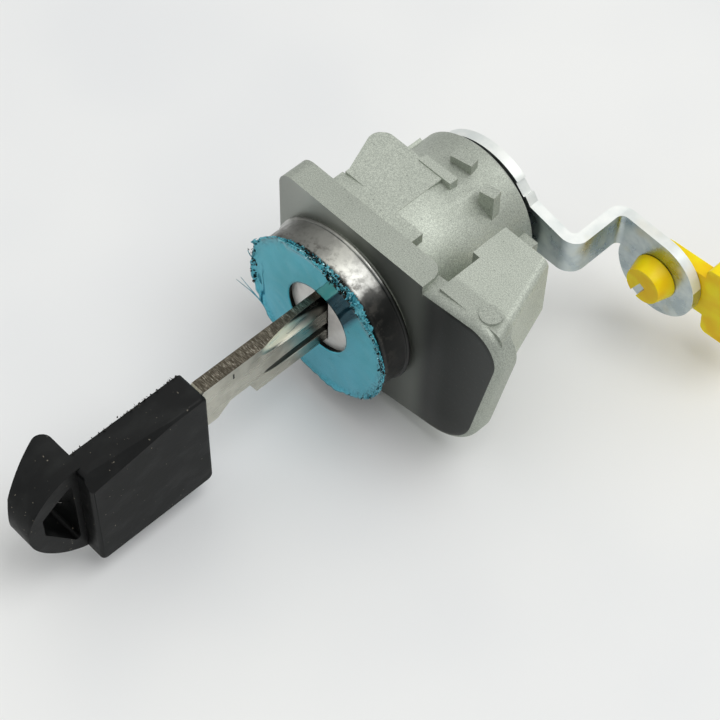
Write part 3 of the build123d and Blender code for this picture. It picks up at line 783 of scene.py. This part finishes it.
class Tree(Nodes):
    """A geometry node tree with named inputs."""

    def __init__(self, name: str, **inputs: tuple[str, object]) -> None:
        """Start the tree.

        Args:
            name: Name of the tree.
            inputs: Socket type and default of each named input.
        """
        super().__init__(bpy.data.node_groups.new(name, "GeometryNodeTree"))
        sockets = self.tree.interface
        sockets.new_socket("Geometry", in_out="INPUT", socket_type="NodeSocketGeometry")
        for key, (kind, default) in inputs.items():
            socket = sockets.new_socket(key, in_out="INPUT", socket_type=kind)
            if default is not None:
                socket.default_value = default
        sockets.new_socket("Geometry", in_out="OUTPUT", socket_type="NodeSocketGeometry")
        self.entry = self.add("NodeGroupInput")
        self.exit = self.add("NodeGroupOutput")

    def given(self, key: str) -> Socket:
        """The named input's socket inside the tree."""
        return self.entry.outputs[key]

    def close(self, geometry: Socket) -> None:
        """End the tree in realized instances with the named material."""
        realize = self.add("GeometryNodeRealizeInstances")
        finish = self.add("GeometryNodeSetMaterial")
        self.link(geometry, realize.inputs[0])
        self.link(realize.outputs[0], finish.inputs["Geometry"])
        self.link(self.given("Finish"), finish.inputs["Material"])
        self.link(finish.outputs["Geometry"], self.exit.inputs[0])

    def grow(self, name: str, seedling: bpy.types.Mesh, **values: object) -> bpy.types.Object:
        """Run the tree on a mesh and keep the result as a plain piece.

        Args:
            name: Name of the piece.
            seedling: Mesh that the tree starts from.
            values: Values of the named inputs.

        Returns:
            The plain piece.
        """
        piece = bpy.data.objects.new(name, seedling)
        bpy.context.scene.collection.objects.link(piece)
        modifier = piece.modifiers.new(name, "NODES")
        modifier.node_group = self.tree
        for item in self.tree.interface.items_tree:
            if item.in_out == "INPUT" and item.name in values:
                modifier[item.identifier] = values[item.name]
        Meshes.bake(piece)
        return piece


class FlakeTree(Tree):
    """Small torn flakes on the points of a guide mesh, turned and sized at random."""

    def __init__(self) -> None:
        """Build the tree."""
        super().__init__(
            "flakes",
            Size=("NodeSocketFloat", 0.0003),
            Spread=("NodeSocketFloat", 0.0002),
            Seed=("NodeSocketInt", 1),
            Finish=("NodeSocketMaterial", None),
        )
        flake = self.add("GeometryNodeMeshIcoSphere")
        flake.inputs["Subdivisions"].default_value = 1
        self.link(self.given("Size"), flake.inputs["Radius"])
        ragged = self.add("GeometryNodeSetPosition")
        shake = self.random_vector((-0.5, -0.5, -0.5), (0.5, 0.5, 0.5), 3)
        self.link(flake.outputs["Mesh"], ragged.inputs["Geometry"])
        self.link(self.scaled(shake, "Size"), ragged.inputs["Offset"])
        points = self.add("GeometryNodeSetPosition")
        drift = self.random_vector((-1.0, -1.0, -1.0), (1.0, 1.0, 1.0), 5)
        self.link(self.given("Geometry"), points.inputs["Geometry"])
        self.link(self.scaled(drift, "Spread"), points.inputs["Offset"])
        spread = self.add("GeometryNodeInstanceOnPoints")
        self.link(points.outputs["Geometry"], spread.inputs["Points"])
        self.link(ragged.outputs["Geometry"], spread.inputs["Instance"])
        turn = math.pi
        self.link(self.random_vector((-turn, -turn, -turn), (turn, turn, turn), 7), spread.inputs["Rotation"])
        self.link(self.random_vector((0.1, 0.1, 0.06), (1.5, 0.8, 0.3), 11), spread.inputs["Scale"])
        self.close(spread.outputs["Instances"])

    def random_vector(self, low: Point, high: Point, step: int) -> Socket:
        """A random vector between two corners, with its own step from the seed."""
        node = self.add("FunctionNodeRandomValue", data_type="FLOAT_VECTOR")
        node.inputs[0].default_value = low
        node.inputs[1].default_value = high
        self.link(self.math("ADD", self.given("Seed"), step), node.inputs["Seed"])
        return node.outputs[0]

    def scaled(self, vector: Socket, key: str) -> Socket:
        """A vector times a named input."""
        node = self.add("ShaderNodeVectorMath", operation="SCALE")
        self.link(vector, node.inputs[0])
        self.link(self.given(key), node.inputs["Scale"])
        return node.outputs[0]


class TurnedTree(Tree):
    """A body of revolution: the guide mesh's points, radius in X, turned round the Y axis."""

    def __init__(self) -> None:
        """Build the tree."""
        super().__init__(
            "turned",
            Corners=("NodeSocketInt", 8),
            Steps=("NodeSocketInt", 160),
            Finish=("NodeSocketMaterial", None),
        )
        columns = self.math("ADD", self.given("Steps"), 1.0)
        sheet = self.add("GeometryNodeMeshGrid")
        self.link(columns, sheet.inputs["Vertices X"])
        self.link(self.given("Corners"), sheet.inputs["Vertices Y"])
        index = self.add("GeometryNodeInputIndex").outputs[0]
        column = self.math("FLOOR", self.math("DIVIDE", index, self.given("Corners")))
        corner = self.math("MODULO", index, self.given("Corners"))
        turn = self.math("MULTIPLY", self.math("DIVIDE", column, self.given("Steps")), 2 * math.pi)
        sample = self.add("GeometryNodeSampleIndex", data_type="FLOAT_VECTOR", domain="POINT")
        self.link(self.given("Geometry"), sample.inputs["Geometry"])
        self.link(self.add("GeometryNodeInputPosition").outputs[0], sample.inputs["Value"])
        self.link(corner, sample.inputs["Index"])
        split = self.add("ShaderNodeSeparateXYZ")
        self.link(sample.outputs[0], split.inputs[0])
        spot = self.add("ShaderNodeCombineXYZ")
        self.link(self.math("MULTIPLY", split.outputs[0], self.math("COSINE", turn)), spot.inputs[0])
        self.link(split.outputs[1], spot.inputs[1])
        self.link(self.math("MULTIPLY", split.outputs[0], self.math("SINE", turn)), spot.inputs[2])
        placed = self.add("GeometryNodeSetPosition")
        self.link(sheet.outputs["Mesh"], placed.inputs["Geometry"])
        self.link(spot.outputs[0], placed.inputs["Position"])
        closed = self.add("GeometryNodeMergeByDistance")
        self.link(placed.outputs["Geometry"], closed.inputs["Geometry"])
        closed.inputs["Distance"].default_value = 1e-6
        self.close(closed.outputs["Geometry"])


@dataclass
class Casting:
    """The die-cast housing."""

    edge_round: float = 0.4
    front: float = 2.9
    skin_depth: float = 0.3

    def build(self) -> None:
        """Round the casting's edges and dress it."""
        light = CastZinc().build()
        # lighter copy of the zinc for the rounded edges: edge wear and a painted highlight
        bright = CastZinc(
            "cast_zinc_edge", light=(0.74, 0.77, 0.69), dark=(0.52, 0.55, 0.49), roughness=0.45
        ).build()
        dark = SmoothZinc().build()
        piece = Meshes.softened(
            "housing", "housing_casting", self.edge_round, (light, bright, dark), 3, 34.0, 1
        )
        # the flange's front takes the dark zinc, whose darkening is painted shade and a painted dark
        # reflection
        Meshes.paint(piece, 2, self.on_front)
        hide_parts("housing")
        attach(piece, Body.HOUSING.value)
        log.info("casting: %d faces", len(piece.data.polygons))

    def on_front(self, center: Vector, normal: Vector) -> bool:
        """Whether a face belongs to the smooth front of the flange and lobe."""
        return normal.y < -0.9 and center.y < (self.front + self.skin_depth) * MM


@dataclass
class FaceCap:
    """The drawn face cap with its thin turned lip."""

    radius: float = 12.3
    sheet: float = 0.6
    edge: float = 0.8
    wall: float = 3.2
    lip_radius: float = 12.7
    lip_length: float = 0.7
    hole: float = 5.7
    lip_round: float = 0.3
    steps: int = 160

    def profile(self) -> list[Spot]:
        """Outline of the sheet as radius and Y, from the hole's edge round the lip and back."""
        front = -self.wall / 2 - self.edge
        lip = self.wall / 2
        outer = [(self.hole, front + self.sheet * 0.15), (self.hole + 0.12, front)]
        outer += self.arc(self.radius - self.edge, front + self.edge, self.edge, -90, 0, 8)
        outer += [(self.radius, lip - 0.12)]
        turned = self.lip_radius - self.lip_round
        outer += self.arc(turned, lip + 0.35, self.lip_round, -90, 0, 5)
        outer += self.arc(turned, lip + self.lip_length - self.lip_round, self.lip_round, 0, 90, 5)
        inner = [(self.radius - self.sheet, lip + self.lip_length)]
        inner += [(self.radius - self.sheet, front + self.sheet), (self.hole, front + self.sheet)]
        return outer + inner

    @staticmethod
    def arc(r: float, y: float, size: float, start: float, end: float, steps: int) -> list[Spot]:
        """Points of an arc in the radius and Y plane, angles in degrees from the radius."""
        turns = [math.radians(start + (end - start) * step / steps) for step in range(steps + 1)]
        return [(r + size * math.cos(turn), y + size * math.sin(turn)) for turn in turns]

    def build(self) -> None:
        """Turn the cap and dress it."""
        profile = self.profile()
        guide = bpy.data.meshes.new("face_cap_profile")
        guide.from_pydata([(r * MM, y * MM, 0.0) for r, y in profile + profile[:1]], [], [])
        cap = TurnedTree().grow(
            "face_cap_drawn",
            guide,
            Corners=len(profile) + 1,
            Steps=self.steps,
            Finish=SatinSteel().build(),
        )
        work = bmesh.new()
        work.from_mesh(cap.data)
        bmesh.ops.recalc_face_normals(work, faces=work.faces)
        for face in work.faces:
            face.smooth = True
        work.to_mesh(cap.data)
        work.free()
        cap.data.set_sharp_from_angle(angle=math.radians(40.0))
        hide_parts("face_cap")
        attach(cap, Body.HOUSING.value)
        log.info("face cap: %d faces", len(cap.data.polygons))


@dataclass
class BlueFilm:
    """The torn protective film, with its flakes, curls and threads.

    A patch of flakes is its first and last angle, its distance from the axis, the spread of that
    distance, the number of flakes and their size. A roll is its first and last angle, its distance
    from the axis and its radius.
    """

    radius: float = 12.75
    hole: float = 5.5
    front: float = -2.56
    thickness: float = 0.13
    rings: int = 26
    steps: int = 300
    flakes: tuple[Patch, ...] = (
        (62.0, 82.0, 12.4, 0.35, 120, 0.4),
        (50.0, 61.0, 12.6, 0.35, 90, 0.52),
        (38.0, 50.0, 12.4, 0.3, 70, 0.4),
        (84.0, 118.0, 12.6, 0.2, 60, 0.28),
        (150.0, 158.0, 12.8, 0.2, 16, 0.36),
        (-40.0, 30.0, 12.5, 0.16, 60, 0.24),
    )
    crumbs: tuple[Patch, ...] = (
        (86.0, 106.0, 12.6, 0.3, 150, 0.24),
        (60.0, 82.0, 12.1, 0.45, 260, 0.27),
        (50.0, 60.0, 12.3, 0.3, 70, 0.27),
        (0.0, 48.0, 12.2, 0.4, 150, 0.17),
        (165.0, 196.0, 12.4, 0.25, 50, 0.22),
        (-60.0, -5.0, 12.4, 0.2, 34, 0.16),
    )
    glints: tuple[Patch, ...] = (
        (50.0, 62.0, 12.6, 0.3, 44, 0.34),
        (62.0, 104.0, 12.3, 0.35, 90, 0.2),
        (8.0, 40.0, 12.0, 0.35, 24, 0.15),
    )
    rolls: tuple[tuple[float, float, float, float], ...] = (
        (124.0, 86.0, 12.25, 0.12),
        (80.0, 60.0, 12.75, 0.17),
        (61.0, 52.0, 12.5, 0.24),
        (44.0, 30.0, 12.55, 0.13),
    )
    curl_from: float = 28.0
    curl_to: float = 122.0
    curl_radius: float = 11.55
    curl_width: float = 0.55
    curl_height: float = 0.42
    loose_from: float = 11.4
    tear: float = 0.16
    nick: float = 0.2

    def edge(self, turn: float) -> float:
        """Radius of the torn edge at an angle from +X towards +Z."""
        tear = noise.noise(Vector((math.cos(turn) * 3.0, math.sin(turn) * 3.0, 4.1)))
        nick = noise.noise(Vector((math.cos(turn) * 14.0, math.sin(turn) * 14.0, 1.7)))
        return self.radius + self.tear * tear + self.nick * nick

    def lift(self, reach: float, turn: float) -> float:
        """How far the film stands off the cap, in millimetres."""
        spot = Vector((math.cos(turn) * reach * 0.35, math.sin(turn) * reach * 0.35, 9.0))
        ripple = 0.05 * abs(noise.noise(spot)) * min(1.0, (reach - self.hole) / 2.0)
        angle = math.degrees(turn) % 360.0
        along = (angle - self.curl_from) / (self.curl_to - self.curl_from)
        if 0.0 < along < 1.0:
            crest = math.exp(-(((reach - self.curl_radius) / self.curl_width) ** 2))
            ripple += self.curl_height * crest * math.sin(math.pi * along) ** 0.5
        loose = max(0.0, (reach - self.loose_from) / 1.4)
        wave = noise.noise(Vector((math.cos(turn) * 2.2, math.sin(turn) * 2.2, 7.3)))
        return ripple + loose * loose * (0.22 + 0.35 * wave)

    def place(self, reach: float, turn: float, lifted: float) -> Point:
        """A point in metres from its distance from the axis, its angle and its Y in millimetres."""
        return reach * MM * math.cos(turn), lifted * MM, reach * MM * math.sin(turn)

    def build(self) -> None:
        """Make the film, then its flakes, curls and threads."""
        blue = FilmPlastic().build()
        mesh = bpy.data.meshes.new("film")
        work = bmesh.new()
        grid = []
        for ring in range(self.rings + 1):
            row = []
            for step in range(self.steps):
                turn = 2 * math.pi * step / self.steps
                reach = self.hole + (self.edge(turn) - self.hole) * ring / self.rings
                lifted = self.front - self.lift(reach, turn)
                row.append(work.verts.new(self.place(reach, turn, lifted)))
            grid.append(row)
        for inner, outer in zip(grid, grid[1:]):
            for step in range(self.steps):
                after = (step + 1) % self.steps
                work.faces.new((inner[step], inner[after], outer[after], outer[step]))
        bmesh.ops.recalc_face_normals(work, faces=work.faces)
        if sum(face.normal.y for face in work.faces) > 0:
            bmesh.ops.reverse_faces(work, faces=work.faces)
        for face in work.faces:
            face.smooth = True
        work.to_mesh(mesh)
        work.free()
        film = Meshes.add("film_disc", mesh, blue)
        solid = film.modifiers.new("thickness", "SOLIDIFY")
        solid.thickness = self.thickness * MM
        solid.offset = -1.0
        Meshes.bake(film)
        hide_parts("protective_film")
        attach(film, Body.HOUSING.value)
        self.scatter()
        self.curls()
        self.threads(blue)
        log.info("film: %d faces", len(film.data.polygons))

    def scatter(self) -> None:
        """Torn flakes, crumbs and glints where the film's rim is frayed."""
        chance = random.Random(41)
        crumbs = PlainMetal("film_crumbs", (0.015, 0.02, 0.025), (0.05, 0.035, 0.02), 0.5).build()
        glints = PlainMetal("film_glints", (0.62, 0.86, 0.88), (0.30, 0.62, 0.70), 0.25).build()
        scraps = PlainMetal(
            "film_scraps", (0.04, 0.28, 0.36), (0.14, 0.50, 0.58), 0.4, metallic=0.3
        ).build()
        tree = FlakeTree()
        for name, material, patches in (
            ("film_flakes", scraps, self.flakes),
            ("film_crumbs", crumbs, self.crumbs),
            ("film_glints", glints, self.glints),
        ):
            for number, (first, last, reach, spread, count, size) in enumerate(patches, 1):
                spots = []
                for _ in range(count):
                    turn = math.radians(chance.uniform(first, last))
                    out = reach + chance.gauss(0.0, spread)
                    spots.append(self.place(out, turn, self.front - self.lift(out, turn)))
                label = f"{name}_{number}"
                guide = bpy.data.meshes.new(label)
                guide.from_pydata(spots, [], [])
                piece = tree.grow(
                    label, guide, Size=size * MM, Spread=0.16 * MM, Seed=number, Finish=material
                )
                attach(piece, Body.HOUSING.value)

    def curls(self) -> None:
        """Rolled-up strips of film that shine along the frayed rim."""
        shiny = PlainMetal(
            "film_curl", (0.10, 0.52, 0.60), (0.50, 0.86, 0.90), 0.3, metallic=0.4
        ).build()
        chance = random.Random(23)
        for number, (first, last, reach, radius) in enumerate(self.rolls, 1):
            run = []
            for step in range(9):
                turn = math.radians(first + (last - first) * step / 8)
                out = reach + chance.uniform(-0.09, 0.09)
                lifted = self.front - 0.12 - 0.5 * self.lift(out, turn)
                run.append((out * math.cos(turn), lifted, out * math.sin(turn)))
            name = f"film_curl_{number}"
            piece = Meshes.add(name, Meshes.tubes(name, (run,), radius, 0.06), shiny)
            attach(piece, Body.HOUSING.value)

    def threads(self, finish: bpy.types.Material) -> None:
        """Loose slivers that hang from the film's left edge."""
        runs = (
            ((-10.5, -2.8, -7.0), (-11.3, -3.3, -5.3), (-12.1, -3.9, -3.6), (-12.9, -4.5, -1.7)),
            ((-10.6, -2.8, -6.7), (-11.9, -3.4, -5.1), (-12.9, -4.0, -4.0), (-13.9, -4.5, -3.1)),
            ((-11.6, -2.8, 4.8), (-11.7, -3.1, 5.9), (-11.4, -3.2, 6.6), (-10.9, -3.1, 7.1)),
            ((-12.3, -2.8, 1.6), (-12.6, -3.1, 2.2), (-12.7, -3.2, 3.1)),
        )
        mesh = Meshes.tubes("film_threads", runs, 0.08, 0.2)
        piece = Meshes.add("film_threads", mesh, finish)
        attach(piece, Body.HOUSING.value)


@dataclass
class Key:
    """The key: blade and head."""

    blade_round: float = 0.11
    head_round: float = 0.45
    blade_top: float = 3.6
    burrs: int = 90
    burr_from: float = -41.5
    burr_to: float = -24.2
    head_side: float = -2.45
    head_top: float = 5.25

    def build(self) -> None:
        """Dress the blade and the head."""
        # pale copy for the blade's rounded edges: a painted highlight line
        rim = PlainMetal(
            "blade_rim_highlight", (0.97, 0.95, 0.88), (0.82, 0.80, 0.73), 0.3, metallic=0.3
        ).build()
        blade = Meshes.softened(
            "key_blade",
            "key_blade_milled",
            self.blade_round,
            (MilledNickel().build(), WornEdge().build(), rim),
            1,
            40.0,
            2,
            24.0,
        )
        Meshes.paint(blade, 1, lambda center, normal: normal.z > 0.8 and center.z > self.blade_top * MM)
        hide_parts("key_blade")
        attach(blade, Body.KEY.value)
        black = BlackMoulding().build()
        head = Meshes.softened("key_head", "key_head_moulded", self.head_round, (black,), 3)
        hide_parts("key_head")
        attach(head, Body.KEY.value)
        self.scatter()
        self.fibre()
        log.info("key: %d and %d faces", len(blade.data.polygons), len(head.data.polygons))

    def scatter(self) -> None:
        """Burrs along the head's top edge on its far side."""
        chance = random.Random(17)
        guide = bpy.data.meshes.new("head_burrs")
        spots = []
        for _ in range(self.burrs):
            y = chance.uniform(self.burr_from, self.burr_to)
            z = self.head_top + chance.gauss(0.0, 0.12)
            spots.append((self.head_side * MM, y * MM, z * MM))
        guide.from_pydata(spots, [], [])
        material = BlackMoulding("burr_plastic", (0.02, 0.02, 0.018), (0.06, 0.05, 0.035)).build()
        piece = FlakeTree().grow(
            "head_burrs", guide, Size=0.26 * MM, Spread=0.16 * MM, Seed=9, Finish=material
        )
        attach(piece, Body.KEY.value)

    def fibre(self) -> None:
        """A pale fibre caught in the ring loop's hole."""
        runs = (((-3.1, -45.0, -1.9), (-3.0, -44.5, -2.6), (-2.6, -43.7, -3.3)),)
        mesh = Meshes.tubes("head_fibre", runs, 0.05, 0.1)
        pale = PlainMetal("pale_fibre", (0.42, 0.42, 0.40), (0.30, 0.30, 0.28), 0.6, metallic=0.0)
        piece = Meshes.add("head_fibre", mesh, pale.build())
        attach(piece, Body.KEY.value)


@dataclass
class LeverSet:
    """The lever and the rod clip."""

    lever_round: float = 0.22
    clip_round: float = 0.35

    def build(self) -> None:
        """Round the edges of the lever and the clip and dress them."""
        zinc = PlatedZinc().build()
        # lighter copy of the plating for the rounded and upward edges: a painted highlight
        rim = PlatedZinc(
            "zinc_plating_lit_edge",
            blue=(0.74, 0.78, 0.76),
            white=(0.86, 0.88, 0.85),
            yellow=(0.78, 0.76, 0.66),
            roughness=0.34,
            metallic=0.35,
        ).build()
        lever = Meshes.softened("lever", "lever_plated", self.lever_round, (zinc, rim), 3, 32.0, 1)
        # painted highlight on the sheet's upward edges
        Meshes.paint(lever, 1, lambda center, normal: abs(normal.y) < 0.25 and normal.z > 0.3)
        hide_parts("lever")
        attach(lever, Body.PLUG.value)
        clip = Meshes.softened(
            "rod_clip", "rod_clip_moulded", self.clip_round, (YellowMoulding().build(),), 3
        )
        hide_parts("rod_clip")
        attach(clip, Body.CLIP.value)
        log.info("lever: %d faces, clip: %d faces", len(lever.data.polygons), len(clip.data.polygons))


@dataclass
class Internals:
    """CAD nodes that keep their own shape and get a better finish."""

    wafers: int = 8

    def build(self) -> None:
        """Assign the finishes to the nodes' own slots."""
        steel = PlainMetal("drawn_steel", (0.52, 0.52, 0.53), (0.34, 0.34, 0.35), 0.3).build()
        brass = PlainMetal("stamped_brass", (0.70, 0.54, 0.26), (0.50, 0.37, 0.17), 0.35).build()
        plug = PlainMetal("turned_zinc", (0.62, 0.62, 0.60), (0.42, 0.42, 0.41), 0.4).build()
        plate = PlainMetal(
            "plug_plate", (0.96, 0.93, 0.89), (0.80, 0.77, 0.74), 0.4, metallic=0.25
        ).build()
        rubber = SealRubber().build()
        finishes = {
            "plug": plug,
            "plug_face_plate": plate,
            "plug_seal": rubber,
            "return_spring": steel,
            "retaining_clip": steel,
        }
        for number in range(1, self.wafers + 1):
            finishes[f"wafer_{number}"] = brass
            finishes[f"wafer_spring_{number}"] = steel
        for node, material in finishes.items():
            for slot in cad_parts[node].material_slots:
                slot.material = material
        log.info("internals: %d nodes dressed", len(finishes))


@dataclass
class Studio:
    """Table, soft light and the camera at the photograph's angle."""

    floor: float = -16.75
    azimuth: float = 45.0
    elevation: float = 54.5
    roll: float = 1.5
    distance: float = 273.0
    target: Point = (2.7, 2.9, -12.0)
    lens: float = 100.0
    sensor: float = 36.0
    table_half: float = 1.5
    lamps: tuple[tuple[str, Point, float, float], ...] = (
        ("key_light", (0.34, 0.18, 0.84), 0.6, 3.6),
        ("fill_light", (-0.30, -0.60, 0.60), 0.9, 0.9),
    )
    sky_lean: Point = (-0.15, 0.40, 0.90)
    horizon: Color = (0.42, 0.43, 0.435)
    zenith: Color = (1.0, 1.0, 0.99)
    sky_strength: float = 0.80

    def build(self) -> None:
        """Make the table, the lamps, the world and the camera."""
        self.table()
        for lamp in self.lamps:
            self.lamp(*lamp)
        self.world()
        self.camera()

    def table(self) -> None:
        """A wide pale table under the lobe."""
        mesh = bpy.data.meshes.new("table")
        z = self.floor * MM
        corners = [(x * self.table_half, y * self.table_half, z) for x, y in SQUARE]
        mesh.from_pydata(corners, [], [(0, 1, 2, 3)])
        Meshes.add("table", mesh, TableTop().build())

    def lamp(self, name: str, place: Point, size: float, power: float) -> None:
        """A square soft lamp that points at the object.

        Args:
            name: Name of the lamp.
            place: Its place in metres.
            size: Its width in metres.
            power: Its power in watts.
        """
        light = bpy.data.lights.new(name, "AREA")
        light.size = size
        light.energy = power
        holder = bpy.data.objects.new(name, light)
        holder.location = place
        holder.rotation_euler = Vector(place).to_track_quat("Z", "Y").to_euler()
        bpy.context.scene.collection.objects.link(holder)

    def world(self) -> None:
        """A pale sky, brightest overhead and darker towards the table's edge."""
        world = bpy.data.worlds.new("studio")
        bpy.context.scene.world = world
        world.use_nodes = True
        sky = Nodes(world.node_tree)
        sky.tree.nodes.clear()
        output = sky.add("ShaderNodeOutputWorld")
        back = sky.add("ShaderNodeBackground")
        place = sky.add("ShaderNodeTexCoord")
        facing = sky.add("ShaderNodeVectorMath", operation="DOT_PRODUCT")
        facing.inputs[1].default_value = Vector(self.sky_lean).normalized()
        ramp = sky.add("ShaderNodeValToRGB")
        for mark, spot, color in zip(ramp.color_ramp.elements, (0.1, 0.95), (self.horizon, self.zenith)):
            mark.position = spot
            mark.color = (*color, 1.0)
        sky.link(place.outputs["Generated"], facing.inputs[0])
        sky.link(facing.outputs["Value"], ramp.inputs[0])
        sky.link(ramp.outputs[0], back.inputs["Color"])
        back.inputs["Strength"].default_value = self.sky_strength
        sky.link(back.outputs[0], output.inputs[0])

    def camera(self) -> None:
        """The camera, set by angle, distance and the point it looks at."""
        turn, rise, roll = (math.radians(v) for v in (self.azimuth, self.elevation, self.roll))
        back = Vector((
            math.sin(turn) * math.cos(rise), -math.cos(turn) * math.cos(rise), math.sin(rise)
        ))
        right = Vector((math.cos(turn), math.sin(turn), 0.0))
        up = back.cross(right)
        rolled_right = math.cos(roll) * right + math.sin(roll) * up
        rolled_up = math.cos(roll) * up - math.sin(roll) * right
        axes = Matrix((rolled_right, rolled_up, back)).transposed().to_4x4()
        data = bpy.data.cameras.new("photo_view")
        data.lens = self.lens
        data.sensor_width = self.sensor
        data.clip_start = 0.01
        camera = bpy.data.objects.new("photo_view", data)
        axes.translation = Vector(self.target) * MM + back * self.distance * MM
        camera.matrix_world = axes
        bpy.context.scene.collection.objects.link(camera)
        bpy.context.scene.camera = camera


def main() -> None:
    """Build and dress every sub-assembly in order."""
    logging.basicConfig(level=logging.INFO, format="%(name)s %(message)s")
    bpy.context.scene.view_settings.view_transform = "Standard"
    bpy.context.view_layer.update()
    Casting().build()
    FaceCap().build()
    BlueFilm().build()
    Key().build()
    LeverSet().build()
    Internals().build()
    Studio().build()


if __name__ == "__main__":
    main()
